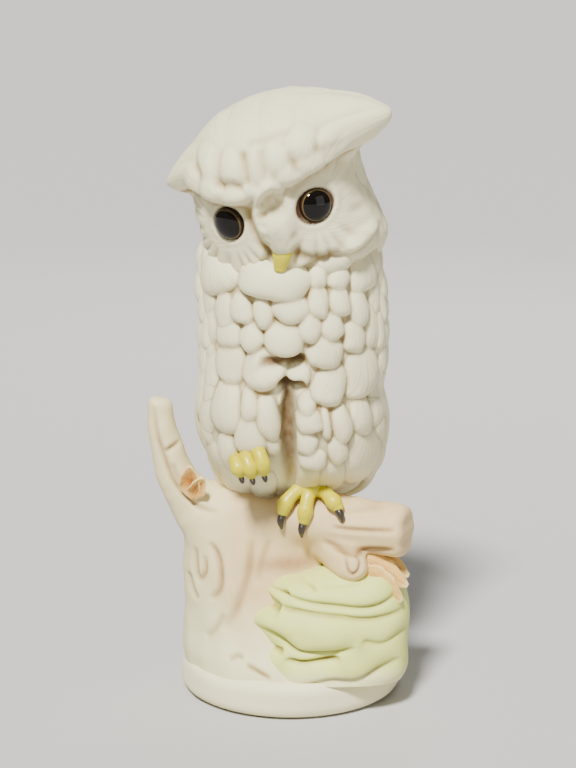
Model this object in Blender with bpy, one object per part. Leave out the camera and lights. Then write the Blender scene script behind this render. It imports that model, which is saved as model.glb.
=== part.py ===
"""Owl figurine: a bisque porcelain owl perched on a stump, as separate castings.

Metres, +Z up, the owl looks along -Y. The origin is the middle of the plinth's underside.
Left and right in the names are the owl's own, so its right side is at -X.
"""
import math

import bmesh
import bpy
import numpy as np
from mathutils import Euler, Matrix, Vector

for leftover in list(bpy.data.objects):
    bpy.data.objects.remove(leftover)

# Castings in general
CASTING_WALL = 0.0032      # wall of the hollow castings
SEAT_GAP = 0.0003          # gap left between two pieces that seat on each other
WELD = 5e-6                # points of a cut edge closer than this are one point

# Plinth
PLINTH_WIDTH = 0.0656
PLINTH_DEPTH = 0.0630
PLINTH_HEIGHT = 0.0115
PLINTH_EDGE = 0.0042       # radius of its rounded edges
VENT_DIAMETER = 0.0090     # vent hole in the underside
VENT_SETBACK = 0.0140      # how far behind the middle the vent hole is

# Stump
TRUNK_LIP = 0.0012         # how far the trunk's foot stands in from the plinth's side
TRUNK_CROWN = 0.0065       # how far the trunk's top rises above the log's axis
TRUNK_LEAN = 0.0105        # how far the trunk's top is to the owl's right
LOG_HEIGHT = 0.0545        # height of the log's axis
LOG_DIAMETER = 0.0162
LOG_REACH = 0.0338         # from the middle to the log's cut end
LOG_SWING = 0.0170         # how far forward the cut end comes
STUB_DIAMETER = 0.0105
STUB_LENGTH = 0.0170
BRANCH_TOP = 0.0895        # height of the upright branch's tip
BRANCH_REACH = 0.0385      # how far out to the side its tip is
BRANCH_ROOT_DIAMETER = 0.0146
BRANCH_TIP_DIAMETER = 0.0068
MOSS_WIDTH = 0.0456
MOSS_DEPTH = 0.0470
MOSS_HEIGHT = 0.0325       # above the plinth's top
MOSS_OFFSET = 0.0112       # how far the mound's middle is from the plinth's, to the owl's left

# Owl
BODY_WIDTH = 0.0500
BODY_DEPTH = 0.0500
BODY_HEIGHT = 0.0870
BODY_SETTLE = 0.0057       # how far the body reaches below the log's top
HEAD_WIDTH = 0.0535
HEAD_DEPTH = 0.0500
HEAD_HEIGHT = 0.0530
NECK_SINK = 0.0190         # how deep the head sits in the body's collar
HEAD_FORWARD = 0.0052      # how far the head's middle is in front of the plinth's
HEAD_ASIDE = 0.0012        # how far it is to the owl's right
NECK_BORE = 0.0200         # passage between the head's hollow and the body's
POUR_BORE = 0.0070         # passage between the body's hollow and the trunk's
POUR_SETBACK = 0.0015      # how far behind the plinth's middle that passage is
HEAD_TURN = math.radians(-14.0)
HEAD_ROLL = math.radians(-13.0)
HEAD_BOW = math.radians(14.0)
EYE_DIAMETER = 0.0096
EYE_SPACING = 0.0243
EYE_DROP = 0.0020          # of the eyes below the head's middle, along the face
EYE_PROUD = 0.0020         # how far an eye stands out of its socket
BEAK_LENGTH = 0.0080
BEAK_WIDTH = 0.0058
BEAK_DROP = 0.0118         # of the beak's root below the head's middle, along the face
WING_LENGTH = 0.0680
WING_SPAN = 0.0360         # from the wing's front edge to its rear edge
WING_PROUD = 0.0028        # how far a folded wing stands out of the body
TAIL_LENGTH = 0.0370
TAIL_WIDTH = 0.0210
TAIL_THICKNESS = 0.0060
THIGH_WIDTH = 0.0200
THIGH_HEIGHT = 0.0240
THIGH_DEPTH = 0.0150
TOE_DIAMETER = 0.0038
RAISED_TOE_LENGTH = 0.0094
TALON_LENGTH = 0.0034
TALON_DIAMETER = 0.0022
PERCHED_FOOT = 0.0058      # where the standing foot is along the log, from the middle
TOE_START = 22.0           # degrees forwards from the log's top where the toes begin
# for each toe: its root and its end along the log in toe diameters, and the angle it reaches
PERCHED_TOES = {"inner": (-0.8, -1.55, 72.0), "middle": (0.0, -0.1, 86.0), "outer": (0.8, 2.5, 50.0)}
# for each curled toe: its place in the row in toe spacings, and its rise as a share of the thigh
RAISED_TOES = {"inner": (1.0, 0.10), "middle": (0.05, -0.02), "outer": (-0.85, -0.10)}
RAISED_TOE_SPACING = 1.08  # in toe diameters
RAISED_FOOT_DROP = 0.37    # of the curled toes below the thigh's middle, as a share of its height
RAISED_FOOT_OUT = 0.36     # of the curled toes in front of it, as a share of its depth
LEAF_LENGTH = 0.0125
LEAF_WIDTH = 0.0068
LEAF_THICKNESS = 0.0012

# Facets
COLUMN_SIDES = 24
LIMB_SIDES = 12
TOE_SIDES = 8


# Meshes from rings of points

def smooth_rows(rows, count):
    """Rows on a smooth curve through the given rows: a cubic from each row to the next."""
    rows = np.array(rows, float)
    slopes = np.gradient(rows, axis=0)
    place = np.linspace(0.0, len(rows) - 1.0, count)
    first = np.minimum(place.astype(int), len(rows) - 2)
    u = (place - first)[:, None]
    start = rows[first] * (1 + 2 * u) * (1 - u) ** 2 + slopes[first] * u * (1 - u) ** 2
    end = rows[first + 1] * u * u * (3 - 2 * u) + slopes[first + 1] * u * u * (u - 1)
    return start + end


def ring_solid(name, rings):
    """A closed mesh over rings of points, each ring going anticlockwise seen from the next."""
    count, sides = rings.shape[:2]
    mesh = bmesh.new()
    verts = [[mesh.verts.new(point) for point in ring] for ring in rings]
    for lower, upper in zip(verts, verts[1:]):
        for k in range(sides):
            n = (k + 1) % sides
            mesh.faces.new((lower[k], lower[n], upper[n], upper[k]))
    mesh.faces.new(verts[0][::-1])
    mesh.faces.new(verts[count - 1])
    return finished(mesh, name)


def finished(mesh, name):
    """A mesh from a bmesh, with its faces pointing out."""
    bmesh.ops.recalc_face_normals(mesh, faces=mesh.faces)
    data = bpy.data.meshes.new(name)
    mesh.to_mesh(data)
    mesh.free()
    return data


def column(name, rows, count, sides=COLUMN_SIDES):
    """A solid of level elliptical rings: rows of height, centre x, centre y, half width, half depth."""
    rows = smooth_rows(rows, count)
    turn = np.arange(sides) * 2 * math.pi / sides
    rings = np.zeros((count, sides, 3))
    rings[:, :, 0] = rows[:, 1:2] + rows[:, 3:4] * np.cos(turn)
    rings[:, :, 1] = rows[:, 2:3] + rows[:, 4:5] * np.sin(turn)
    rings[:, :, 2] = rows[:, 0:1]
    return ring_solid(name, rings)


def limb(name, points, widths, thicknesses, across=(0, 1, 0), ends=(0.9, 0.9), sides=LIMB_SIDES,
         count=10):
    """A solid carried along a smooth path, with elliptical rings and rounded ends.

    widths are the full sizes along the across direction and thicknesses those square to it,
    given at each point; ends says how far each end bulges, as a share of its half width.
    """
    rows = np.column_stack((np.array(points, float), widths, thicknesses))
    rows = smooth_rows(rows, count)
    path = rows[:, :3]
    tangent = np.gradient(path, axis=0)
    tangent /= np.linalg.norm(tangent, axis=1)[:, None]
    dome = np.radians([76.0, 42.0])
    path = np.concatenate((
        path[0] - tangent[0] * (rows[0, 3] / 2 * ends[0] * np.sin(dome))[:, None],
        path,
        path[-1] + tangent[-1] * (rows[-1, 3] / 2 * ends[1] * np.sin(dome[::-1]))[:, None]))
    half = rows[:, 3:5] / 2
    half = np.concatenate((half[0] * np.cos(dome)[:, None], half,
                           half[-1] * np.cos(dome[::-1])[:, None]))
    tangent = np.concatenate((tangent[[0, 0]], tangent, tangent[[-1, -1]]))
    across = np.array(across, float)
    side = across - tangent * (tangent @ across)[:, None]
    side /= np.linalg.norm(side, axis=1)[:, None]
    other = np.cross(tangent, side)
    turn = np.arange(sides) * 2 * math.pi / sides
    rings = (path[:, None, :]
             + (half[:, :1] * np.cos(turn))[:, :, None] * side[:, None, :]
             + (half[:, 1:] * np.sin(turn))[:, :, None] * other[:, None, :])
    return ring_solid(name, rings)


def ellipsoid(name, matrix, half_sizes, sides=COLUMN_SIDES):
    """An ellipsoid with its middle and its turn given by a matrix."""
    mesh = bmesh.new()
    scale = Matrix.Diagonal((*half_sizes, 1.0))
    bmesh.ops.create_uvsphere(mesh, u_segments=sides, v_segments=sides // 2, radius=1.0,
                              matrix=matrix @ scale)
    return finished(mesh, name)


def bore(name, start, end, diameter):
    """A cylinder from one point to another, used to cut a passage."""
    start, end = Vector(start), Vector(end)
    turn = (end - start).to_track_quat("Z", "Y").to_matrix().to_4x4()
    mesh = bmesh.new()
    bmesh.ops.create_cone(mesh, cap_ends=True, segments=24, radius1=diameter / 2,
                          radius2=diameter / 2, depth=(end - start).length,
                          matrix=Matrix.Translation((start + end) / 2) @ turn)
    return finished(mesh, name)


# Operations on meshes

def offset(data, distance):
    """A copy of a mesh with every face moved out by a distance, or in if it is negative."""
    mesh = bmesh.new()
    mesh.from_mesh(data)
    mesh.normal_update()
    moves = [vert.normal * (vert.calc_shell_factor() * distance) for vert in mesh.verts]
    for vert, move in zip(mesh.verts, moves):
        vert.co += move
    return finished(mesh, data.name + "_offset")


def combine(data, other, operation):
    """The Boolean of two meshes."""
    target = bpy.data.objects.new("target", data)
    tool = bpy.data.objects.new("tool", other)
    for work in (target, tool):
        bpy.context.scene.collection.objects.link(work)
    modifier = target.modifiers.new("boolean", "BOOLEAN")
    modifier.operation = operation
    modifier.solver = "EXACT"
    modifier.object = tool
    graph = bpy.context.evaluated_depsgraph_get()
    result = bpy.data.meshes.new_from_object(target.evaluated_get(graph), depsgraph=graph)
    for work in (target, tool):
        bpy.data.objects.remove(work)
    return trimmed(result)


def boxes_meet(data, other):
    """Whether the boxes around two meshes overlap."""
    first = np.array([vert.co for vert in data.vertices])
    second = np.array([vert.co for vert in other.vertices])
    return bool((first.min(0) < second.max(0)).all() and (second.min(0) < first.max(0)).all())


def trimmed(data):
    """The mesh without the crumbs that a cut leaves on the far side, its points welded."""
    mesh = bmesh.new()
    mesh.from_mesh(data)
    bmesh.ops.remove_doubles(mesh, verts=mesh.verts, dist=WELD)
    bmesh.ops.dissolve_degenerate(mesh, edges=mesh.edges, dist=WELD)
    left = set(mesh.faces)
    bodies = []
    while left:
        stack = [left.pop()]
        body = set(stack)
        while stack:
            face = stack.pop()
            for edge in face.edges:
                for near in edge.link_faces:
                    if near in left:
                        left.discard(near)
                        body.add(near)
                        stack.append(near)
        bodies.append(body)
    largest = max(bodies, key=lambda body: sum(face.calc_area() for face in body))
    crumbs = [face for face in mesh.faces if face not in largest]
    bmesh.ops.delete(mesh, geom=crumbs, context="FACES")
    result = bpy.data.meshes.new(data.name)
    mesh.to_mesh(result)
    mesh.free()
    return result


# Stump

def plinth():
    """The round foot: upright sides with a rounded edge above and below, and a flat underside."""
    arc = np.radians([0.0, 30.0, 60.0, 90.0])
    low = np.column_stack((PLINTH_EDGE * (1 - np.cos(arc)), PLINTH_EDGE * (1 - np.sin(arc))))
    high = np.column_stack((PLINTH_HEIGHT - low[::-1, 0], low[::-1, 1]))
    profile = np.concatenate((low, high))
    turn = np.arange(COLUMN_SIDES) * 2 * math.pi / COLUMN_SIDES
    rings = np.zeros((len(profile), COLUMN_SIDES, 3))
    rings[:, :, 0] = (PLINTH_WIDTH / 2 - profile[:, 1:]) * np.cos(turn)
    rings[:, :, 1] = (PLINTH_DEPTH / 2 - profile[:, 1:]) * np.sin(turn)
    rings[:, :, 2] = profile[:, :1]
    return ring_solid("base_plinth", rings)


def trunk():
    """The stump itself: a wide foot that narrows and leans to the owl's right up to the log."""
    foot = PLINTH_HEIGHT - PLINTH_EDGE / 2
    top = LOG_HEIGHT + TRUNK_CROWN
    rise = top - foot
    width = PLINTH_WIDTH / 2 - TRUNK_LIP
    depth = PLINTH_DEPTH / 2 - TRUNK_LIP
    rows = [
        (foot, 0.000, 0.000, width * 0.97, depth * 0.95),
        (foot + rise * 0.18, -TRUNK_LEAN * 0.10, 0.001, width * 0.96, depth * 0.86),
        (foot + rise * 0.38, -TRUNK_LEAN * 0.29, 0.002, width * 0.91, depth * 0.74),
        (foot + rise * 0.58, -TRUNK_LEAN * 0.52, 0.002, width * 0.84, depth * 0.62),
        (foot + rise * 0.76, -TRUNK_LEAN * 0.81, 0.001, width * 0.74, depth * 0.52),
        (foot + rise * 0.90, -TRUNK_LEAN * 0.95, 0.000, width * 0.62, depth * 0.42),
        (foot + rise * 0.98, -TRUNK_LEAN, 0.000, width * 0.44, depth * 0.30),
        (top, -TRUNK_LEAN, 0.000, width * 0.22, depth * 0.15)]
    return column("stump_trunk", rows, 11)


def log_axis():
    """The log's axis, as points from inside the trunk to its cut end."""
    return [(-0.0200, 0.0010, LOG_HEIGHT - 0.0015), (0.0050, -LOG_SWING * 0.5, LOG_HEIGHT),
            (LOG_REACH, -LOG_SWING, LOG_HEIGHT - 0.0020)]


def perch_log():
    """The level log that the owl stands on, with a flat cut end."""
    widths = [LOG_DIAMETER * 1.04, LOG_DIAMETER, LOG_DIAMETER * 0.95]
    return limb("perch_log", log_axis(), widths, widths, across=(0, 0, 1), ends=(0.5, 0.12),
                sides=20, count=6)


def log_stub():
    """The short broken stub under the log, which points forwards and down."""
    root = Vector((0.0110, -LOG_SWING * 0.4, LOG_HEIGHT - LOG_DIAMETER * 0.42))
    tip = root + Vector((0.34, -0.90, -0.28)).normalized() * STUB_LENGTH
    widths = [STUB_DIAMETER * 1.15, STUB_DIAMETER]
    return limb("log_stub", [root, tip], widths, widths, across=(1, 0, 0), ends=(0.4, 0.55),
                sides=14, count=3)


def branch():
    """The upright branch at the owl's right, curving up like a horn to a thin tip."""
    low = LOG_HEIGHT - 0.0090
    rise = BRANCH_TOP - low
    points = [(-BRANCH_REACH * 0.50, 0.0, low),
              (-BRANCH_REACH * 0.76, -0.0005, low + rise * 0.27),
              (-BRANCH_REACH * 0.93, 0.0, low + rise * 0.58),
              (-BRANCH_REACH, 0.0005, BRANCH_TOP - BRANCH_TIP_DIAMETER * 0.3)]
    middle = (BRANCH_ROOT_DIAMETER + BRANCH_TIP_DIAMETER) / 2
    widths = [BRANCH_ROOT_DIAMETER, BRANCH_ROOT_DIAMETER * 0.88, middle * 0.96,
              BRANCH_TIP_DIAMETER]
    return limb("upright_branch", points, widths, widths, ends=(0.6, 0.6), sides=14, count=8)


def moss():
    """The mound of moss in front of the trunk, low and wide, with a rounded top."""
    foot = PLINTH_HEIGHT - PLINTH_EDGE / 2
    rise = MOSS_HEIGHT + PLINTH_EDGE / 2
    width = MOSS_WIDTH / 2
    depth = MOSS_DEPTH / 2
    middle = -(PLINTH_DEPTH / 2 - depth)
    rows = [
        (foot, MOSS_OFFSET * 0.90, middle, width * 0.96, depth * 0.96),
        (foot + rise * 0.20, MOSS_OFFSET, middle, width, depth),
        (foot + rise * 0.45, MOSS_OFFSET, middle, width * 0.97, depth * 0.96),
        (foot + rise * 0.70, MOSS_OFFSET * 0.96, middle, width * 0.86, depth * 0.80),
        (foot + rise * 0.90, MOSS_OFFSET * 0.92, middle, width * 0.62, depth * 0.55),
        (foot + rise, MOSS_OFFSET * 0.90, middle, width * 0.26, depth * 0.22)]
    return column("moss_mound", rows, 9)


# Owl: body, wings, tail and thighs

def body_bottom():
    """The height of the body's lowest point, inside the log."""
    return LOG_HEIGHT + LOG_DIAMETER / 2 - BODY_SETTLE


def body_rows():
    """Rows of height, centre x, centre y, half width and half depth of the body."""
    low = body_bottom()
    shape = [(0.00, 0.0056, 0.46, 0.34), (0.06, 0.0056, 0.80, 0.53), (0.15, 0.0040, 0.93, 0.74),
             (0.30, 0.0014, 0.99, 0.94), (0.50, -0.0006, 1.00, 1.00), (0.68, -0.0010, 1.00, 1.00),
             (0.82, 0.0000, 1.00, 0.96), (0.91, 0.0022, 0.98, 0.86), (0.96, 0.0044, 0.86, 0.70),
             (1.00, 0.0064, 0.48, 0.38)]
    return [(low + share * BODY_HEIGHT, 0.0, shift, width * BODY_WIDTH / 2, depth * BODY_DEPTH / 2)
            for share, shift, width, depth in shape]


def body():
    """The owl's body, a barrel that narrows to the log and closes under the head."""
    return column("owl_body", body_rows(), 17)


def on_body(angle, share):
    """The point of the body at an angle from straight ahead and a share of its height."""
    rows = smooth_rows(body_rows(), 60)
    height = body_bottom() + share * BODY_HEIGHT
    centre_y, half_width, half_depth = (np.interp(height, rows[:, 0], rows[:, k])
                                        for k in (2, 3, 4))
    return Vector((half_width * math.sin(angle), centre_y - half_depth * math.cos(angle), height))


def wing(name, side):
    """A folded wing: the body's own surface moved out, inside a long leaf-shaped outline."""
    middle = on_body(side * math.radians(106.0), 0.44)
    tilt = Euler((math.radians(-7.0), 0.0, 0.0)).to_matrix().to_4x4()
    half_sizes = (BODY_WIDTH * 0.32, WING_SPAN / 2, WING_LENGTH / 2)
    outline = ellipsoid("outline", Matrix.Translation(middle) @ tilt, half_sizes)
    layer = offset(body(), WING_PROUD)
    data = combine(layer, outline, "INTERSECT")
    data.name = name
    return data


def tail():
    """The short tail, flat and square-ended, hanging behind the log."""
    root = on_body(math.pi, 0.20) + Vector((0.0, -TAIL_THICKNESS, 0.004))
    points = [root, root + Vector((0, 0.0045, -TAIL_LENGTH * 0.45)),
              root + Vector((0, 0.0060, -TAIL_LENGTH))]
    widths = [TAIL_WIDTH * 0.92, TAIL_WIDTH, TAIL_WIDTH * 0.86]
    thicknesses = [TAIL_THICKNESS * 1.25, TAIL_THICKNESS, TAIL_THICKNESS * 0.62]
    return limb("tail", points, widths, thicknesses, across=(1, 0, 0), ends=(0.2, 0.18),
                sides=16, count=5)


def thigh_middle(side):
    """The middle of a thigh; the owl's right one, at -X, is lifted."""
    if side < 0:
        place = on_body(math.radians(-34.0), 0.32)
    else:
        place = on_body(math.radians(27.0), 0.27)
    return place + Vector((0.0, THIGH_DEPTH * 0.16, 0.0))


def thigh(name, side):
    """A feathered thigh, a rounded lump on the front of the body."""
    half_sizes = (THIGH_WIDTH / 2, THIGH_DEPTH / 2, THIGH_HEIGHT / 2)
    return ellipsoid(name, Matrix.Translation(thigh_middle(side)), half_sizes, sides=16)


# Owl: head

def head_frame():
    """The head's middle and its turn: turned to the owl's right, rolled and bowed."""
    middle = body_bottom() + BODY_HEIGHT + HEAD_HEIGHT / 2 - NECK_SINK
    turn = (Matrix.Rotation(HEAD_TURN, 4, "Z") @ Matrix.Rotation(HEAD_ROLL, 4, "Y")
            @ Matrix.Rotation(HEAD_BOW, 4, "X"))
    return Matrix.Translation((-HEAD_ASIDE, -HEAD_FORWARD, middle)) @ turn


def on_face(x, z):
    """A point on the front of the head and the way out of it there, from face coordinates."""
    half = Vector((HEAD_WIDTH, HEAD_DEPTH, HEAD_HEIGHT)) / 2
    y = -half.y * math.sqrt(1 - (x / half.x) ** 2 - (z / half.z) ** 2)
    out = Vector((x / half.x ** 2, y / half.y ** 2, z / half.z ** 2)).normalized()
    frame = head_frame()
    return frame @ Vector((x, y, z)), frame.to_3x3() @ out


def head():
    """The head, an ellipsoid around the face."""
    return ellipsoid("owl_head", head_frame(), (HEAD_WIDTH / 2, HEAD_DEPTH / 2, HEAD_HEIGHT / 2))


def eye(name, side):
    """A glass eye, a slightly flattened bead set in a pierced socket."""
    surface, out = on_face(side * EYE_SPACING / 2, -EYE_DROP)
    depth = EYE_DIAMETER * 0.46
    turn = out.to_track_quat("Z", "Y").to_matrix().to_4x4()
    middle = surface - out * (depth - EYE_PROUD)
    half_sizes = (EYE_DIAMETER / 2, EYE_DIAMETER / 2, depth)
    return ellipsoid(name, Matrix.Translation(middle) @ turn, half_sizes, sides=16)


def beak():
    """The hooked beak, rooted low in the face and pointing down."""
    root, out = on_face(0.0, -BEAK_DROP)
    frame = head_frame().to_3x3()
    down = frame @ Vector((0, 0, -1))
    points = [root - out * BEAK_WIDTH * 0.35, root + out * BEAK_WIDTH * 0.30 + down * BEAK_LENGTH * 0.35,
              root + out * BEAK_WIDTH * 0.12 + down * BEAK_LENGTH]
    widths = [BEAK_WIDTH, BEAK_WIDTH * 0.82, BEAK_WIDTH * 0.20]
    return limb("beak", points, widths, widths, across=frame @ Vector((1, 0, 0)), sides=12, count=7)


def ear_tuft(name, side):
    """An ear tuft, a flattened horn at the corner of the brow."""
    frame = head_frame()
    half = Vector((HEAD_WIDTH, HEAD_DEPTH, HEAD_HEIGHT)) / 2
    if side > 0:
        places = [(0.46, -0.10, 0.62), (0.86, -0.22, 0.62), (1.17, -0.26, 0.58)]
        widths = [0.0160, 0.0120, 0.0046]
    else:
        places = [(-0.62, -0.16, 0.50), (-0.98, -0.24, 0.34), (-1.18, -0.26, 0.28)]
        widths = [0.0150, 0.0096, 0.0038]
    points = [frame @ Vector((x * half.x, y * half.y, z * half.z)) for x, y, z in places]
    thicknesses = [0.0075, 0.0058, 0.0030]
    return limb(name, points, widths, thicknesses, across=frame.to_3x3() @ Vector((0, 0.35, 1)),
                ends=(0.3, 0.6), count=8)


# Owl: feet

def on_log(along, angle, lift):
    """A point at a distance along the log, an angle forwards from its top and a lift off its bark."""
    path = smooth_rows(log_axis(), 60)
    centre = Vector([np.interp(along, path[:, 0], path[:, k]) for k in range(3)])
    axis = Vector(path[-1] - path[20]).normalized()
    front = axis.cross(Vector((0, 0, 1))).normalized()
    up = front.cross(axis)
    reach = LOG_DIAMETER / 2 + lift
    return centre + (front * math.sin(angle) + up * math.cos(angle)) * reach


def perched_toe(name, root, spread, angle):
    """A toe over the front of the log; root and spread are in toe diameters along the log."""
    lift = TOE_DIAMETER * 0.28
    points = [on_log(PERCHED_FOOT + TOE_DIAMETER * (root + (spread - root) * share),
                     math.radians(TOE_START + (angle - TOE_START) * share), lift)
              for share in np.linspace(0.0, 1.0, 5)]
    widths = TOE_DIAMETER * np.array([1.00, 0.98, 0.96, 1.04, 0.92])
    return limb(name, points, widths, widths, across=(1, 0, 0), sides=TOE_SIDES, count=6)


def perched_foot():
    """The pad where the standing foot's toes meet, under the thigh."""
    middle = on_log(PERCHED_FOOT, math.radians(TOE_START * 0.3), TOE_DIAMETER * 0.30)
    half_sizes = (TOE_DIAMETER * 1.35, TOE_DIAMETER * 0.95, TOE_DIAMETER * 0.62)
    return ellipsoid("perched_foot", Matrix.Translation(middle), half_sizes, sides=16)


def perched_talon(name, spread, angle):
    """The talon at a toe's end, curving down to the bark."""
    reach = TALON_LENGTH / (LOG_DIAMETER / 2 + TOE_DIAMETER / 2)
    start = math.radians(angle) + 0.35 * TOE_DIAMETER / LOG_DIAMETER
    place = PERCHED_FOOT + TOE_DIAMETER * spread * 1.02
    points = [on_log(place, start, TOE_DIAMETER * 0.38),
              on_log(place, start + reach * 0.75, TOE_DIAMETER * 0.46),
              on_log(place, start + reach * 1.35, TOE_DIAMETER * 0.14)]
    widths = [TALON_DIAMETER, TALON_DIAMETER * 0.9, TALON_DIAMETER * 0.36]
    return limb(name, points, widths, widths, across=(1, 0, 0), sides=TOE_SIDES, count=6)


def raised_toe_path(row, rise):
    """The path of a curled toe of the lifted foot, out of the thigh, over and down."""
    base = thigh_middle(-1) + Vector((THIGH_WIDTH * 0.09, -THIGH_DEPTH * RAISED_FOOT_OUT,
                                      -THIGH_HEIGHT * RAISED_FOOT_DROP))
    base += Vector((row * TOE_DIAMETER * RAISED_TOE_SPACING, 0.0, rise * THIGH_HEIGHT))
    reach = RAISED_TOE_LENGTH
    return [base + Vector(step) * reach
            for step in ((0, 0.10, 0.12), (0.02, -0.22, 0.02), (0.08, -0.38, -0.28), (0.17, -0.30, -0.62))]


def raised_toe(name, row, rise):
    """A curled toe of the lifted foot."""
    widths = TOE_DIAMETER * np.array([1.0, 1.0, 1.02, 0.86])
    return limb(name, raised_toe_path(row, rise), widths, widths, across=(1, 0, 0), sides=TOE_SIDES,
                count=7)


def raised_talon(name, row, rise):
    """The talon of a curled toe, turned back under it."""
    tip = raised_toe_path(row, rise)[-1]
    points = [tip + Vector((0, 0, -TOE_DIAMETER * 0.18)),
              tip + Vector((0.06, 0.12, -0.62)) * TALON_LENGTH,
              tip + Vector((0.12, 0.38, -1.0)) * TALON_LENGTH]
    widths = [TALON_DIAMETER, TALON_DIAMETER * 0.8, TALON_DIAMETER * 0.34]
    return limb(name, points, widths, widths, across=(1, 0, 0), sides=TOE_SIDES, count=5)


# Leaves

def leaf(name, root, way, up, size=1.0):
    """A leaf pressed from a thin sheet: a pointed oval, cupped along its length."""
    root, way, up = Vector(root), Vector(way).normalized(), Vector(up).normalized()
    length = LEAF_LENGTH * size
    shares = [0.0, 0.3, 0.62, 1.0]
    points = [root + way * length * share + up * length * 0.16 * math.sin(share * math.pi)
              for share in shares]
    widths = [LEAF_WIDTH * size * share for share in (0.45, 0.95, 0.92, 0.22)]
    thicknesses = [LEAF_THICKNESS * 1.2, LEAF_THICKNESS, LEAF_THICKNESS, LEAF_THICKNESS * 0.7]
    return limb(name, points, widths, thicknesses, across=way.cross(up), ends=(0.3, 0.3), sides=10,
                count=6)


def branch_leaves():
    """The two leaves of the bud where the branch leaves the trunk."""
    low = LOG_HEIGHT + 0.0035
    root = Vector((-BRANCH_REACH * 0.74, -BRANCH_ROOT_DIAMETER * 0.44, low))
    return {
        "branch_leaf_outer": leaf("branch_leaf_outer", root, (-0.02, -0.16, 1.0), (0.3, -1.0, 0.0), 0.92),
        "branch_leaf_inner": leaf("branch_leaf_inner", root + Vector((0.0016, -0.0022, 0.0)),
                                  (0.34, -0.16, 0.80), (0.8, -1.0, 0.0), 0.66)}


def log_leaves():
    """The three leaves fanned out between the log's end and the moss."""
    root = Vector((LOG_REACH - 0.0115, -LOG_SWING * 1.06, LOG_HEIGHT - LOG_DIAMETER * 0.5 - 0.0012))
    return {
        "log_leaf_upper": leaf("log_leaf_upper", root + Vector((0.0014, 0.0034, 0.0002)),
                               (0.78, 0.05, -0.56), (0.3, -0.8, 0.5), 0.98),
        "log_leaf_middle": leaf("log_leaf_middle", root + Vector((-0.0010, 0.0, -0.0012)),
                                (0.84, -0.10, -0.50), (0.3, -0.8, 0.5), 1.0),
        "log_leaf_lower": leaf("log_leaf_lower", root + Vector((-0.0006, -0.0022, -0.0036)),
                               (0.70, -0.16, -0.68), (0.3, -0.8, 0.5), 0.9)}


# Assembly

MATERIALS = {
    "white_bisque": ((0.86, 0.84, 0.79), 0.55),
    "bark_bisque": ((0.78, 0.69, 0.60), 0.60),
    "moss_bisque": ((0.82, 0.84, 0.62), 0.60),
    "leaf_bisque": ((0.80, 0.62, 0.42), 0.55),
    "yellow_enamel": ((0.86, 0.72, 0.12), 0.30),
    "black_enamel": ((0.03, 0.03, 0.02), 0.22),
    "dark_glass": ((0.02, 0.015, 0.01), 0.05)}


def pieces():
    """Every piece in the order that it is seated: a later piece is cut to fit the earlier ones."""
    bisque, bark, yellow, black = "white_bisque", "bark_bisque", "yellow_enamel", "black_enamel"
    listed = [("base_plinth", plinth(), bisque), ("stump_trunk", trunk(), bark),
              ("perch_log", perch_log(), bark), ("log_stub", log_stub(), bark),
              ("upright_branch", branch(), bark), ("moss_mound", moss(), "moss_bisque"),
              ("right_eye", eye("right_eye", -1), "dark_glass"),
              ("left_eye", eye("left_eye", 1), "dark_glass"),
              ("owl_head", head(), bisque), ("owl_body", body(), bisque), ("beak", beak(), yellow),
              ("right_ear_tuft", ear_tuft("right_ear_tuft", -1), bisque),
              ("left_ear_tuft", ear_tuft("left_ear_tuft", 1), bisque),
              ("right_wing", wing("right_wing", -1), bisque),
              ("left_wing", wing("left_wing", 1), bisque),
              ("raised_thigh", thigh("raised_thigh", -1), bisque),
              ("standing_thigh", thigh("standing_thigh", 1), bisque), ("tail", tail(), bisque)]
    listed.append(("perched_foot", perched_foot(), yellow))
    for place, (root, spread, angle) in PERCHED_TOES.items():
        name = "perched_toe_" + place
        listed.append((name, perched_toe(name, root, spread, angle), yellow))
    for place, (row, rise) in RAISED_TOES.items():
        name = "raised_toe_" + place
        listed.append((name, raised_toe(name, row, rise), yellow))
    for place, (_, spread, angle) in PERCHED_TOES.items():
        name = "perched_talon_" + place
        listed.append((name, perched_talon(name, spread, angle), black))
    for place, (row, rise) in RAISED_TOES.items():
        name = "raised_talon_" + place
        listed.append((name, raised_talon(name, row, rise), black))
    for leaves in (branch_leaves(), log_leaves()):
        listed += [(name, data, "leaf_bisque") for name, data in leaves.items()]
    return listed


def passages():
    """The bores that open each hollow: vent, foot passage, pour passage and neck passage."""
    trunk_top = LOG_HEIGHT + TRUNK_CROWN
    pour = (-TRUNK_LEAN, POUR_SETBACK)
    neck = head_frame().translation
    chest = Vector((0.0, 0.0, body_bottom() + BODY_HEIGHT * 0.5))
    return {
        "vent": bore("vent", (0, VENT_SETBACK, -CASTING_WALL), (0, VENT_SETBACK, PLINTH_HEIGHT / 2),
                     VENT_DIAMETER),
        "foot": bore("foot", (0, 0, PLINTH_HEIGHT / 2), (0, 0, PLINTH_HEIGHT + CASTING_WALL * 3),
                     NECK_BORE),
        "pour": bore("pour", (*pour, trunk_top - CASTING_WALL * 4), (*pour, trunk_top + CASTING_WALL * 4),
                     POUR_BORE),
        "neck": bore("neck", chest, neck, NECK_BORE)}


OPENED_BY = {
    "base_plinth": ("vent", "foot"),
    "stump_trunk": ("foot", "pour"),
    "owl_body": ("pour", "neck"),
    "owl_head": ("neck",)}


def material(slot):
    """The material of a slot, made the first time it is asked for."""
    if slot in bpy.data.materials:
        return bpy.data.materials[slot]
    colour, roughness = MATERIALS[slot]
    made = bpy.data.materials.new(slot)
    made.use_nodes = True
    shader = made.node_tree.nodes["Principled BSDF"]
    shader.inputs["Base Color"].default_value = (*colour, 1.0)
    shader.inputs["Roughness"].default_value = roughness
    shader.inputs["Metallic"].default_value = 0.0
    return made


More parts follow.
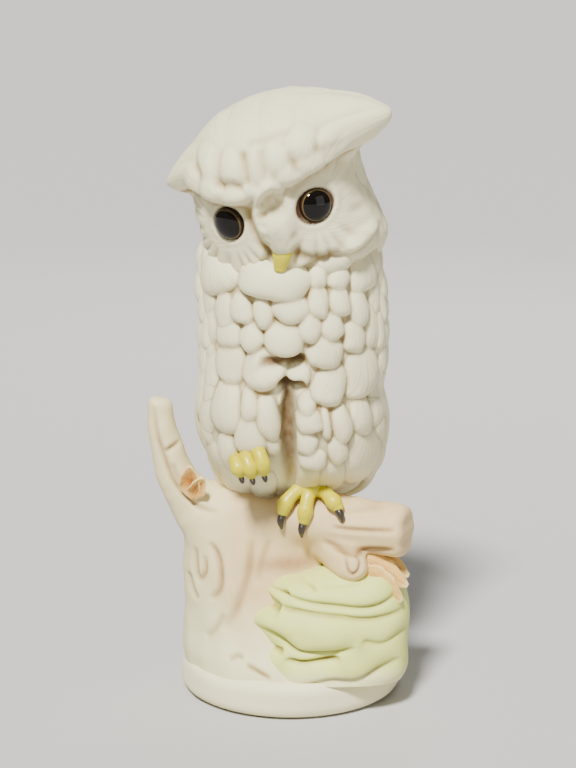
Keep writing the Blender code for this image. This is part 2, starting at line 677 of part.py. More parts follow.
def add_object(name, data, slot):
    """Put a finished mesh in the scene as a named, smooth-shaded object."""
    data.materials.clear()
    data.materials.append(material(slot))
    data.shade_smooth()
    data.set_sharp_from_angle(angle=math.radians(40.0))
    part = bpy.data.objects.new(name, data)
    bpy.context.scene.collection.objects.link(part)


def build():
    """Seat each piece against the earlier ones, hollow the castings and add the objects."""
    openings = passages()
    seated = []
    for name, data, slot in pieces():
        result = data
        if name in OPENED_BY:
            hollow = offset(data, -CASTING_WALL)
            for opening in OPENED_BY[name]:
                hollow = combine(hollow, openings[opening], "UNION")
            result = combine(result, hollow, "DIFFERENCE")
        for grown in seated:
            if boxes_meet(result, grown):
                result = combine(result, grown, "DIFFERENCE")
        seated.append(offset(data, SEAT_GAP))
        add_object(name, result, slot)


build()
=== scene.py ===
# Porcelain owl on a mossy stump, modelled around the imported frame.
# Shapes are worked out in millimetres; the owl looks along -Y and its own right side is at -X.
import math

import bpy
import numpy as np
import openvdb
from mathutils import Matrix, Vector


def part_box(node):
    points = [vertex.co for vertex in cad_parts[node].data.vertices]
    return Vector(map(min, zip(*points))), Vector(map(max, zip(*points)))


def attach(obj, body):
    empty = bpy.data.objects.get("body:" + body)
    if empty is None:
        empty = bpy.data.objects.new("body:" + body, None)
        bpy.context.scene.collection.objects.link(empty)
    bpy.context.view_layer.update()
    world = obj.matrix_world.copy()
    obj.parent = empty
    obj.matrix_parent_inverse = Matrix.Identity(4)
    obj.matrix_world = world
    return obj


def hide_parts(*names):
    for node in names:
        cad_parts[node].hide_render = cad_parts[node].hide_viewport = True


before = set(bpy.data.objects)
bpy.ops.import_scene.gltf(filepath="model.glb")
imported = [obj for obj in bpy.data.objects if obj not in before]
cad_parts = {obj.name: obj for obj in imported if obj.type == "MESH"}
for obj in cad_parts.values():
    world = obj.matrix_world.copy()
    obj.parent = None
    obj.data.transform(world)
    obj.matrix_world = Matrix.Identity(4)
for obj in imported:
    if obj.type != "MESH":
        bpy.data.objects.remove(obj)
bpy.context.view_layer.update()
meters = 0.001    # one millimetre
downward = np.array([0, 0, -1])


# small maths

def ease(low, high, x):
    # 0 below low, 1 above high, 3t^2 - 2t^3 between
    t = np.clip((x - low) / (high - low), 0, 1)
    return t * t * (3.0 - 2.0 * t)


def bell(x):
    # e^(-x^2)
    return np.exp(-x * x)


def spot(x, z, middleX, middleZ, halfX, halfZ):
    # a soft round spot: a bell across times a bell up
    return bell((x - middleX) / halfX) * bell((z - middleZ) / halfZ)


def boxOf(*nodes):
    # lowest and highest corners of CAD nodes, in millimetres
    corners = np.array([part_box(node) for node in nodes]) / meters
    return corners[:, 0].min(0), corners[:, 1].max(0)


def curveThrough(points, count):
    # a cubic from each point to the next, its slope at a point from the neighbours, stepped evenly by length
    points = np.array(points, float)
    slopes = np.gradient(points, axis=0)
    place = np.linspace(0, len(points) - 1, 800)
    first = np.minimum(place.astype(int), len(points) - 2)
    u = (place - first)[:, None]
    line = (points[first] * (1 + 2 * u) * (1 - u) ** 2 + slopes[first] * u * (1 - u) ** 2
            + points[first + 1] * u * u * (3 - 2 * u) + slopes[first + 1] * u * u * (u - 1))
    run = np.append(0, np.cumsum(np.linalg.norm(np.diff(line[:, :3], axis=0), axis=1)))
    steps = np.linspace(0, run[-1], count)
    return np.column_stack([np.interp(steps, run, line[:, k]) for k in range(line.shape[1])])


def ringTable(rings, count):
    # rings joined by a smooth curve and sorted by height
    table = curveThrough(rings, count)
    return table[np.argsort(table[:, 0])]


def ringAt(table, z):
    # half width, half depth, middle x and middle y at each height
    return np.array([np.interp(z, table[:, 0], table[:, k]) for k in range(1, 5)])


def squareness(sine, cosine, power):
    # what turns a circle into a ring a little squarer: (|sin|^p + |cos|^p)^(-1/p)
    return (np.abs(sine) ** power + np.abs(cosine) ** power) ** (-1 / power)


def uneven(points, size, seed):
    # nine sine waves in random directions, about -1 to 1, with waves about as long as size
    rng = np.random.default_rng(seed)
    total = np.zeros(points.shape[:-1])
    for _ in range(9):
        way = rng.normal(size=3)
        way *= 2 * math.pi / (size * rng.uniform(0.7, 1.6) * np.linalg.norm(way))
        total += np.sin(points @ way + rng.uniform(0, 2 * math.pi))
    return total / 3.2


def gridNormals(points, wrap=True):
    # across the grid times up the grid
    up = np.gradient(points, axis=0)
    if wrap:
        across = np.roll(points, -1, 1) - np.roll(points, 1, 1)
    else:
        across = np.gradient(points, axis=1)
    normal = np.cross(across, up)
    return normal / np.maximum(np.linalg.norm(normal, axis=2, keepdims=True), 1e-9)


def soften(values, passes, wrap=True):
    # each pass is a quarter of both neighbours and half of the point itself, both ways of the grid
    for _ in range(passes):
        if wrap:
            values = (np.roll(values, 1, 1) + 2 * values + np.roll(values, -1, 1)) / 4
        padded = np.concatenate((values[:1], values, values[-1:]))
        values = (padded[:-2] + 2 * values + padded[2:]) / 4
    return values


def strokeDepth(x, z, line, radius):
    # e^(-(d/radius)^2), d the distance in the x-z plane from a smooth line through the points, fading
    # to nothing at both ends
    points = curveThrough([(a, b, 0) for a, b in line], 130)
    nearest = np.full(x.shape, 1e9)
    strength = np.zeros(x.shape)
    for share, (a, b, _) in zip(np.linspace(-1, 1, len(points)), points):
        away = (x - a) ** 2 + (z - b) ** 2
        closer = away < nearest
        nearest = np.where(closer, away, nearest)
        strength = np.where(closer, 1 - abs(share) ** 5, strength)
    return np.exp(-nearest / radius ** 2) * strength


# making meshes

def meshPiece(name, verts, quads, tris, masks, material):
    # a smooth-shaded mesh whose faces are turned outwards by the sign of its volume
    quads = np.asarray(quads, int).reshape(-1, 4)
    tris = np.asarray(tris, int).reshape(-1, 3)
    halves = np.concatenate((quads[:, [0, 1, 2]], quads[:, [0, 2, 3]], tris))
    a, b, c = (verts[halves[:, k]] for k in range(3))
    if np.einsum("ij,ij->i", a, np.cross(b, c)).sum() < 0:
        quads = quads[:, ::-1]
        tris = tris[:, ::-1]
    mesh = bpy.data.meshes.new(name)
    mesh.from_pydata((verts * meters).tolist(), [], quads.tolist() + tris.tolist())
    mesh.polygons.foreach_set("use_smooth", np.ones(len(mesh.polygons), bool))
    for mask, values in masks.items():
        kind = "FLOAT_VECTOR" if values.ndim == 2 else "FLOAT"
        layer = mesh.attributes.new(mask, kind, "POINT")
        layer.data.foreach_set("vector" if values.ndim == 2 else "value",
                               np.ascontiguousarray(values, np.float32).ravel())
    mesh.materials.append(material)
    piece = bpy.data.objects.new(name, mesh)
    bpy.context.scene.collection.objects.link(piece)
    return piece


def withPoles(values):
    # a grid's values in one list, then the averages of its first and last row for the poles
    return np.concatenate((values.reshape(-1, *values.shape[2:]), values[:1].mean(1), values[-1:].mean(1)))


def gridPiece(name, points, masks, material):
    # quads between neighbouring points, closed across; a pole in the middle of each end row closes the ends
    rows, cols = points.shape[:2]
    i, j = np.mgrid[0:rows - 1, 0:cols]
    n = (j + 1) % cols
    quads = np.stack((i * cols + j, i * cols + n, (i + 1) * cols + n, (i + 1) * cols + j), 2)
    k = np.arange(cols)
    following = (k + 1) % cols
    top = (rows - 1) * cols
    low = np.stack((np.full(cols, rows * cols), following, k), 1)
    high = np.stack((np.full(cols, rows * cols + 1), top + k, top + following), 1)
    masks = {mask: withPoles(values) for mask, values in masks.items()}
    return meshPiece(name, withPoles(points), quads, np.concatenate((low, high)), masks, material)


def bothFaces(front, back=None):
    # a sheet's front columns, then its back columns the other way round, so that the grid closes
    back = front if back is None else back
    return np.concatenate((front, back[:, ::-1]), 1)


def finishPiece(piece, slot, *nodes):
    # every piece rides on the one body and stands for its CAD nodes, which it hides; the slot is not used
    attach(piece, "root")
    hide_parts(*nodes)
    print("made", piece.name, len(piece.data.polygons), "faces")


# feathers

def layPetals(s, z, petals, base, seed=3):
    # A petal is a pillow (1 - r^2)^0.6 over a squarish ellipse, higher towards its tip; where petals
    # overlap the highest shows. The second result is for the barbs: fan angle, place along, petal number.
    rng = np.random.default_rng(seed)
    height = np.full(s.shape, base, float)
    barb = np.zeros(s.shape + (3,))
    barb[..., 0] = s * 0.4
    barb[..., 1] = z
    for number, (cs, cz, half, length, turn, proud) in enumerate(petals):
        reach = max(half, length) * 1.1
        near = (np.abs(s - cs) < reach) & (np.abs(z - cz) < reach)
        phase, lobes = rng.uniform(0, 6.28), rng.integers(3, 6)
        if not near.any():
            continue
        ds, dz = s[near] - cs, z[near] - cz
        a = (ds * math.cos(turn) + dz * math.sin(turn)) / half
        t = (ds * math.sin(turn) - dz * math.cos(turn)) / length
        a = a / (0.86 + 0.14 * np.clip(t, -1, 1))
        angle = np.arctan2(a, t)
        r = (np.abs(a) ** 2.3 + np.abs(t) ** 2.3) ** (1 / 2.3) * (1 + 0.05 * np.sin(lobes * angle + phase))
        pillow = proud * (0.7 + 0.18 * (t + 1)) * np.clip(1 - r ** 2.1, 0, 1) ** 0.6
        pillow = np.where(r < 1, pillow, -1e9)
        shown = height[near]
        wins = pillow > shown
        shown[wins] = pillow[wins]
        height[near] = shown
        fan = np.arctan2(a * half, (t + 1.8) * length)
        mark = np.stack((fan * 9 + number * 5.7, t * length, np.full_like(fan, number * 3.1)), -1)
        marks = barb[near]
        marks[wins] = mark[wins]
        barb[near] = marks
    return height, barb


def petalsAround(s, z, petals, around, wraps, seed=3):
    # the petals laid once more a whole turn on, so that they run across the seam at the back
    height, barb = layPetals(s, z, petals, 0, seed)
    for wrap in wraps:
        other, otherBarb = layPetals(s + wrap * around, z, petals, 0, seed)
        wins = other > height
        height = np.where(wins, other, height)
        barb[wins] = otherBarb[wins]
    return height, barb


def scallopRows(rows, arm, skip=None):
    # staggered rows of scallops with a little chance in place and size
    rng = np.random.default_rng(rows["seed"])
    petals = []
    for row, z in enumerate(np.arange(*rows["heights"])):
        for turn in np.arange(-math.pi, math.pi, rows["step"]) + (row % 2) * rows["step"] / 2:
            if abs(turn) < rows["from"] or (skip and skip(turn, z)):
                continue
            jog = [rng.uniform(-most, most) for most in rows["jog"]]
            half, length = rng.uniform(*rows["half"]), rng.uniform(*rows["length"])
            lean = rng.uniform(-rows["lean"], rows["lean"])
            proud = rng.uniform(*rows["proud"])
            petals.append((turn * arm + jog[0], z + jog[1], half, length, lean, proud))
    return petals


def plumageMasks(crease, barb, **others):
    # the plumage finish reads five masks; those that a piece has no use for are nought
    nothing = np.zeros_like(crease)
    return {"crease": crease, "deep": nothing, "yellow": nothing, "rust": nothing, "barb": barb} | others


def cavity(height, reach, strength):
    # how far a point lies below the average of its surroundings
    return np.clip((soften(height, reach) - height) * strength, 0, 1)


def featherCoat(base, normal, down, height, barb, striae):
    # the surface moved out by the height, with fine ridges along the barbs, and down by a share of the
    # height so that tips hang over the next row
    ridges = np.sin(barb[..., 0] * 2.6) * 0.5 + np.sin(barb[..., 0] * 5.9 + 1) * 0.5
    height = height + ridges * striae
    return base + normal * height[..., None] + down * (height * 0.45)[..., None]


# materials

def newGroup(name, inputs, outputs):
    group = bpy.data.node_groups.new(name, "ShaderNodeTree")
    for label, kind, value in inputs:
        socket = group.interface.new_socket(label, in_out="INPUT", socket_type=kind)
        if value is not None:
            socket.default_value = value
    for label, kind in outputs:
        group.interface.new_socket(label, in_out="OUTPUT", socket_type=kind)
    return group, group.nodes.new("NodeGroupInput"), group.nodes.new("NodeGroupOutput")


def feed(tree, socket, value):
    # a number, a colour or another node's output
    if isinstance(value, (int, float)):
        socket.default_value = value
    elif isinstance(value, tuple):
        socket.default_value = (*value, 1)
    else:
        tree.links.new(value, socket)


def mathNode(tree, operation, *values, clamp=False):
    node = tree.nodes.new("ShaderNodeMath")
    node.operation = operation
    node.use_clamp = clamp
    for socket, value in zip(node.inputs, values):
        feed(tree, socket, value)
    return node.outputs[0]


def mixColor(tree, amount, first, second):
    node = tree.nodes.new("ShaderNodeMix")
    node.data_type = "RGBA"
    for socket, value in zip((node.inputs[0], node.inputs[6], node.inputs[7]), (amount, first, second)):
        feed(tree, socket, value)
    return node.outputs[2]


def noiseNode(tree, vector, scale, detail=3, rough=0.55):
    node = tree.nodes.new("ShaderNodeTexNoise")
    node.inputs["Scale"].default_value = scale
    node.inputs["Detail"].default_value = detail
    node.inputs["Roughness"].default_value = rough
    tree.links.new(vector, node.inputs["Vector"])
    return node.outputs["Fac"]


# noise scales per metre, and how the two fine ones share the tooth
grainScales = {"fine": 2600, "coarse": 620, "mottle": 95, "fineShare": 0.55, "coarseShare": 0.45}
layerPatches = {"scale": 260, "spread": 0.9, "least": 0.55}
barbStretch = (1.5, 0.14, 1)


def makeGrainGroup():
    # unglazed clay: a fine even tooth for the bump and a broad mottling for the colour
    group, start, end = newGroup("clayGrain", [("Vector", "NodeSocketVector", None)],
                                 [("Tooth", "NodeSocketFloat"), ("Mottle", "NodeSocketFloat")])
    vector = start.outputs["Vector"]
    fine = noiseNode(group, vector, grainScales["fine"], 2)
    coarse = noiseNode(group, vector, grainScales["coarse"], 3)
    share = mathNode(group, "MULTIPLY", coarse, grainScales["coarseShare"])
    tooth = mathNode(group, "MULTIPLY_ADD", fine, grainScales["fineShare"], share)
    broad = noiseNode(group, vector, grainScales["mottle"], 4)
    group.links.new(tooth, end.inputs["Tooth"])
    group.links.new(broad, end.inputs["Mottle"])
    return group


def makeLayerGroup():
    # a colour mixed over the base through its mask, broken up by noise; the masks carry the piece's own
    # colour areas and painted shade in hollows
    group, start, end = newGroup(
        "colourAndShadeLayer",
        [("Vector", "NodeSocketVector", None), ("Base", "NodeSocketColor", (0.8, 0.8, 0.8, 1)),
         ("Pigment", "NodeSocketColor", (0.4, 0.3, 0.2, 1)), ("Mask", "NodeSocketFloat", 0),
         ("Strength", "NodeSocketFloat", 1)],
        [("Color", "NodeSocketColor"), ("Amount", "NodeSocketFloat")])
    patch = noiseNode(group, start.outputs["Vector"], layerPatches["scale"], 3)
    broken = mathNode(group, "MULTIPLY_ADD", patch, layerPatches["spread"], layerPatches["least"])
    amount = mathNode(group, "MULTIPLY", mathNode(group, "MULTIPLY", start.outputs["Mask"], broken),
                      start.outputs["Strength"], clamp=True)
    group.links.new(mixColor(group, amount, start.outputs["Base"], start.outputs["Pigment"]),
                    end.inputs["Color"])
    group.links.new(amount, end.inputs["Amount"])
    return group


def makeBarbGroup():
    # the feather's fine ridges: noise stretched along the barbs
    group, start, end = newGroup("barbLines", [("Barb", "NodeSocketVector", None)],
                                 [("Height", "NodeSocketFloat")])
    squeeze = group.nodes.new("ShaderNodeMapping")
    squeeze.inputs["Scale"].default_value = barbStretch
    group.links.new(start.outputs["Barb"], squeeze.inputs["Vector"])
    lines = noiseNode(group, squeeze.outputs["Vector"], 1, 3, 0.6)
    group.links.new(lines, end.inputs["Height"])
    return group


grainGroup = makeGrainGroup()
layerGroup = makeLayerGroup()
barbGroup = makeBarbGroup()


def useGroup(tree, group, **inputs):
    node = tree.nodes.new("ShaderNodeGroup")
    node.node_tree = group
    for label, value in inputs.items():
        feed(tree, node.inputs[label], value)
    return node


def maskOutput(tree, name, output="Fac"):
    node = tree.nodes.new("ShaderNodeAttribute")
    node.attribute_name = name
    return node.outputs[output]


def newMaterial(name):
    # a material with its node tree, its shader and the coordinates of the piece
    material = bpy.data.materials.new(name)
    material.use_nodes = True
    tree = material.node_tree
    place = tree.nodes.new("ShaderNodeTexCoord").outputs["Object"]
    return material, tree, tree.nodes["Principled BSDF"], place


def addBump(tree, shader, height, strength, distance):
    bump = tree.nodes.new("ShaderNodeBump")
    bump.inputs["Strength"].default_value = strength
    bump.inputs["Distance"].default_value = distance
    tree.links.new(height, bump.inputs["Height"])
    tree.links.new(bump.outputs["Normal"], shader.inputs["Normal"])


def bisque(name, look, washes, barbs=False):
    # unglazed porcelain: grain and mottling over the base colour, then each masked colour in turn, real
    # colour areas and painted shade alike
    material, tree, shader, place = newMaterial(name)
    grain = useGroup(tree, grainGroup, Vector=place)
    color = mixColor(tree, grain.outputs["Mottle"], look["color"], look["mottle"])
    for mask, layerColour, strength in washes:
        overlay = useGroup(tree, layerGroup, Vector=place, Base=color, Pigment=layerColour,
                        Mask=maskOutput(tree, mask), Strength=strength)
        color = overlay.outputs["Color"]
    feed(tree, shader.inputs["Base Color"], color)
    tooth = grain.outputs["Tooth"]
    rough = mathNode(tree, "MULTIPLY_ADD", tooth, look["roughSpread"], look["rough"])
    feed(tree, shader.inputs["Roughness"], rough)
    height = mathNode(tree, "MULTIPLY", tooth, look["grain"])
    if barbs:
        lines = useGroup(tree, barbGroup, Barb=maskOutput(tree, "barb", "Vector"))
        height = mathNode(tree, "MULTIPLY_ADD", lines.outputs["Height"], look["barbs"], height)
    addBump(tree, shader, height, 1, look["bump"])
    shader.inputs["Subsurface Weight"].default_value = look["glow"]
    shader.inputs["Subsurface Radius"].default_value = look["glowRadius"]
    shader.inputs["Subsurface Scale"].default_value = look["glowScale"]
    shader.inputs["Specular IOR Level"].default_value = look["specular"]
    return material


def enamel(name, look):
    # fired-on colour: a glossy coat, a little uneven, with a second colour mixed in by the crease mask; on
    # the yellow that is painted shade in the creases
    material, tree, shader, place = newMaterial(name)
    cloud = noiseNode(tree, place, look["cloudScale"], 3)
    color = mixColor(tree, cloud, look["color"], look["mottle"])
    amount = mathNode(tree, "MULTIPLY", maskOutput(tree, "crease"), look["overlayStrength"], clamp=True)
    feed(tree, shader.inputs["Base Color"], mixColor(tree, amount, color, look["overlay"]))
    rough = mathNode(tree, "MULTIPLY_ADD", cloud, look["roughSpread"], look["rough"])
    feed(tree, shader.inputs["Roughness"], rough)
    addBump(tree, shader, noiseNode(tree, place, look["waveScale"], 2), look["wave"], look["bump"])
    shader.inputs["Coat Weight"].default_value = look["coat"]
    shader.inputs["Coat Roughness"].default_value = look["coatRough"]
    return material


clay = {"rough": 0.52, "roughSpread": 0.16, "grain": 0.2, "bump": 0.0003, "specular": 0.28,
        "glow": 0.05, "glowRadius": (1, 0.75, 0.5), "glowScale": 0.0016}
glaze = {"overlayStrength": 0.9, "rough": 0.34, "roughSpread": 0.12, "coat": 0.12, "coatRough": 0.12,
         "cloudScale": 500, "waveScale": 900, "wave": 0.5, "bump": 0.0002}
finishes = {
    "plumage": clay | {"color": (0.8, 0.745, 0.46), "mottle": (0.86, 0.815, 0.56), "rough": 0.5,
                       "grain": 0.16, "barbs": 0.8, "specular": 0.3},
    "bark": clay | {"color": (0.69, 0.49, 0.22), "mottle": (0.77, 0.6, 0.34)},
    "moss": clay | {"color": (0.67, 0.74, 0.17), "mottle": (0.75, 0.79, 0.27)},
    "plinth": clay | {"color": (0.8, 0.745, 0.45), "mottle": (0.85, 0.8, 0.54), "rough": 0.5, "grain": 0.18},
    "leaf": clay | {"color": (0.72, 0.43, 0.09), "mottle": (0.8, 0.53, 0.17), "rough": 0.48,
                    "roughSpread": 0.2, "grain": 0.25, "specular": 0.35},
    # the yellow's darker crease colour is painted shade in the toes' creases and at the beak's root
    "yellow": glaze | {"color": (0.55, 0.47, 0), "mottle": (0.63, 0.55, 0), "overlay": (0.3, 0.14, 0.005)},
    "talon": glaze | {"color": (0.012, 0.009, 0.007), "mottle": (0.05, 0.035, 0.022), "cloudScale": 700,
                      "overlay": (0.2, 0.13, 0.04), "overlayStrength": 0.6, "rough": 0.3, "coat": 0.2},
}
# plumage: the crease colour and the darkest colour are painted shade in hollows, grooves and across the
# belly; the reddish-brown colour is painted shade where the body meets the log and round the raised foot, and
# is also the eye rims' real brown paint
plumageMaterial = bisque("plumageBisque", finishes["plumage"],
                         [("crease", (0.36, 0.235, 0.08), 0.9), ("deep", (0.13, 0.065, 0.02), 0.92),
                          ("yellow", (0.66, 0.5, 0.01), 0.7), ("rust", (0.07, 0.028, 0.01), 1)], barbs=True)
# bark: the crease colour is painted shade in carved lines and hollows; the reddish-brown colour is painted
# shadow under the owl and painted shade in the recess over the moss
barkMaterial = bisque("barkBisque", finishes["bark"],
                      [("pale", (0.76, 0.73, 0.42), 0.85), ("grey", (0.58, 0.57, 0.32), 0.6),
                       ("crease", (0.32, 0.19, 0.07), 0.85), ("rust", (0.26, 0.1, 0.035), 0.75)])
# moss: the crease colour is painted shade in the folds
mossMaterial = bisque("mossBisque", finishes["moss"],
                      [("pale", (0.82, 0.77, 0.47), 0.9), ("crease", (0.3, 0.22, 0.04), 0.85)])
# plinth: the crease colour is painted shade; the plinth's mask for it is nought
plinthMaterial = bisque("plinthBisque", finishes["plinth"], [("crease", (0.4, 0.26, 0.12), 0.7)])
# leaf: the crease colour is painted shade beside the midrib and in the veins
leafMaterial = bisque("leafBisque", finishes["leaf"],
                      [("heart", (0.42, 0.13, 0.01), 0.95), ("crease", (0.3, 0.11, 0.015), 0.8),
                       ("edge", (0.84, 0.7, 0.36), 0.7)])
yellowMaterial = enamel("yellowEnamel", finishes["yellow"])
talonMaterial = enamel("talonEnamel", finishes["talon"])


# colours of the eye from its axis (0) to its edge (1), and what the glass shows
eyeLook = {
    "stops": [(0, (0.003, 0.002, 0.002)), (0.87, (0.004, 0.003, 0.002)), (0.905, (0.15, 0.1, 0.028)),
              (0.93, (0.08, 0.045, 0.015)), (0.955, (0.02, 0.009, 0.005)), (1, (0.012, 0.006, 0.004))],
    "fleck": (0.004, 0.003, 0.003), "fleckScale": 1800, "fleckAmount": 0.35, "rough": 0.05, "specular": 0.28,
}


def eyeGlass(name, look):
    # dark glass dome: black pupil, a thin olive ring and a brown edge from the distance to the eye's axis
    material, tree, shader, place = newMaterial(name)
    ramp = tree.nodes.new("ShaderNodeValToRGB")
    while len(ramp.color_ramp.elements) < len(look["stops"]):
        ramp.color_ramp.elements.new(0.5)
    for element, (share, color) in zip(ramp.color_ramp.elements, look["stops"]):
        element.position = share
        element.color = (*color, 1)
    feed(tree, ramp.inputs["Fac"], maskOutput(tree, "ring"))
    fleck = noiseNode(tree, place, look["fleckScale"], 2)
    amount = mathNode(tree, "MULTIPLY", fleck, look["fleckAmount"])
    feed(tree, shader.inputs["Base Color"], mixColor(tree, amount, ramp.outputs["Color"], look["fleck"]))
    feed(tree, shader.inputs["Roughness"], mathNode(tree, "MULTIPLY_ADD", fleck, 0.05, look["rough"]))
    shader.inputs["Specular IOR Level"].default_value = look["specular"]
    return material


eyeMaterial = eyeGlass("darkGlassEye", eyeLook)
print("materials ready")


# the body: one casting, with the thighs, covered in soft lumps of down

bodyForm = {
    "columns": 440, "rows": 212, "crowd": 0.3,
    # height, half width, half depth, middle x, middle y
    "rings": [(58, 12, 9.5, 0.2, 5), (59.5, 17.5, 12.5, 0.3, 5), (62.5, 21, 16, 0.6, 4.6),
              (67, 23.2, 19, 1.2, 4.2), (72, 24.8, 21.2, 1.3, 3), (79, 26.2, 22, 0.6, 1.6),
              (86, 26.2, 22.6, 0.2, 0.8), (93, 24.8, 22.8, -0.2, 0.2), (99, 25, 23, 0.6, -0.4),
              (107, 25.2, 23.2, 0.6, -0.8), (115, 24.9, 23.2, 0.6, -0.8), (122, 25, 23.2, 0, -0.6),
              (128, 25, 22.6, -0.2, -0.4), (133, 24.2, 20.6, -0.2, 1), (137, 21.8, 17.6, 0, 3),
              (140.5, 17, 13.6, 0, 4.4), (142.5, 9, 8, 0, 5)],
    # thighs: middle x, middle z, half width, half height, forward
    "thighs": [(-14, 83, 10.5, 14, 4.4), (12.5, 80, 10.5, 14, 3.6)],
    # carved lines on the front: points as x and z, radius
    "groove": ([(-0.6, 99.5), (-0.9, 91), (-0.8, 81), (-0.4, 72), (0.2, 64)], 2),
    "crevice": ([(-8.5, 105), (-2, 104), (5, 104.2)], 1.9),
    "notch": ([(-4, 98), (0.5, 97.4), (4, 98.6)], 1.6),
    "scallops": {"seed": 11, "heights": (139, 60, -6.2), "step": 0.3, "from": 1.12, "jog": (0.6, 0.8),
                 "half": (4.4, 5.4), "length": (6.4, 7.6), "lean": 0.12, "proud": (1.9, 2.4)},
    "armLength": 25.5,    # turns the angle round the body into a length
    "cut": (3.2, 3.2, 2.2),    # depths of the groove, the crevice and the notch
    "bellyShade": (0.13, 90, 24),    # painted shade across the belly under the chest, with some brown wash: strength, height, half height
    "wings": ((1.3, 2.45), (72, 122)),    # turns and heights that the wings cover
    "striae": 0.045,
}
armLength = bodyForm["armLength"]
bodyRings = ringTable(bodyForm["rings"], 400)


def bodySurface(turn, z):
    # a level ellipse at each height: x = middle + half width sin(turn), y = middle - half depth cos(turn),
    # with the two thighs pushed forward as bells
    rx, ry, cx, cy = ringAt(bodyRings, z)
    x = cx + rx * np.sin(turn)
    y = cy - ry * np.cos(turn)
    front = ease(-0.1, 0.5, np.cos(turn))
    for middle, height, half, tall, forward in bodyForm["thighs"]:
        y = y - forward * front * bell(((x - middle) / half) ** 2) * bell(((z - height) / tall) ** 2)
    return np.stack((x, y, z), -1)


# lumps of down on the front: left, right, top, bottom, turn of the tip in degrees, proud
frontDown = [
    (-27, -14.7, 133, 121.2, 10, 3), (-15.6, 6.4, 133.6, 121.6, -5, 5), (4.6, 10.6, 131.8, 124.6, 0, 2.8),
    (10, 17, 131, 123.8, 6, 2.8), (16.5, 25, 133, 122, 8, 2.4), (-22, -15.4, 122.6, 111.8, -6, 2.8),
    (-17.6, -10.6, 122.6, 114.2, 0, 3.1), (-11, -4.8, 123.4, 113.4, 0, 3.4), (-6, 5.4, 124.4, 115.2, 0, 3.8),
    (4.6, 11, 126, 116.2, 0, 3.2), (10.6, 17.2, 125.4, 116.2, 4, 3.1), (16.4, 22.6, 123.4, 112.4, 4, 2.7),
    (-25.6, -20.8, 121, 106, 0, 2.2), (-21.8, -13.6, 115.4, 106.8, -6, 3), (-15, -7.6, 114.8, 106.4, 4, 3.2),
    (-8.2, 4.4, 115.6, 105.6, -3, 4), (1.4, 9, 118.6, 109.6, 0, 3.3), (8, 15.4, 117.8, 109.8, 4, 3.2),
    (14.8, 21.6, 115, 105.4, 2, 2.9), (4.2, 15.4, 111.4, 102, 0, 3.4), (20.8, 26.4, 118, 105, 0, 2.2),
    (-22, -12.4, 108.2, 96.8, -8, 3.5), (-14.6, -1.4, 107.2, 96, 30, 4.2), (-1.2, 6, 103, 97.4, 0, 2.4),
    (5.6, 16.4, 102.8, 91.2, -6, 4.2), (14.6, 25.4, 106.4, 92.2, 6, 4), (-26.4, -21, 106.4, 92.6, 0, 2.3),
    (-23.2, -14, 98.4, 82.6, 0, 2.9), (-28.2, -22.4, 94, 79.6, 0, 2.4), (-14.8, -9.5, 96.4, 87, 8, 2.7),
    (-10.4, -2.6, 94, 81.6, 12, 3.2), (-4, -0.8, 94.6, 90.6, 0, 2), (-17, -7, 88.4, 77.4, 0, 3.4),
    (-21.6, -14.8, 82.6, 71.4, -4, 2.9), (-8.2, -2.4, 83.2, 76.8, 16, 2.4), (-26, -20, 80, 66, 0, 1.8),
    (-23, -12, 76, 60.5, 0, 1.9), (-13, -4, 72, 59, 0, 1.7), (1.8, 7.6, 95.4, 88.8, 0, 3),
    (0.5, 9.6, 90.8, 83.8, 0, 3.1), (1, 8.2, 84.8, 77.4, 0, 3), (1.6, 11, 79.2, 72.6, 0, 2.7),
    (8.8, 11.8, 91.2, 81.6, 0, 2.3), (11.8, 18, 91.4, 80.2, 0, 2.9), (17.4, 23.8, 93.8, 81.2, -4, 2.5),
    (22.8, 28.6, 93.8, 81.6, 0, 2.4), (10.6, 17, 82.6, 74, 0, 2.6), (15, 28, 82.4, 65, -6, 2),
    (8, 17, 74, 63, 0, 1.4), (1, 9, 73, 62, 0, 1.3),
]


def frontPetals():
    # a lump's left and right edges become turns round the ring at its own height
    petals = []
    for left, right, top, bottom, tip, proud in frontDown:
        z = (top + bottom) / 2
        rx, _, cx, _ = ringAt(bodyRings, z)
        shares = [max(-0.98, min(0.98, (x - cx) / (rx + 1.5))) for x in (left, right)]
        edges = [math.asin(share) * armLength for share in shares]
        half = (edges[1] - edges[0]) / 2
        tall = (top - bottom) / 2
        petals.append((sum(edges) / 2, z + 0.5, half * 1.1, tall * 1.1, math.radians(tip), proud))
    return petals


def underWing(turn, z):
    # where the wings lie over the body
    turns, heights = bodyForm["wings"]
    return turns[0] < abs(turn) < turns[1] and heights[0] < z < heights[1]


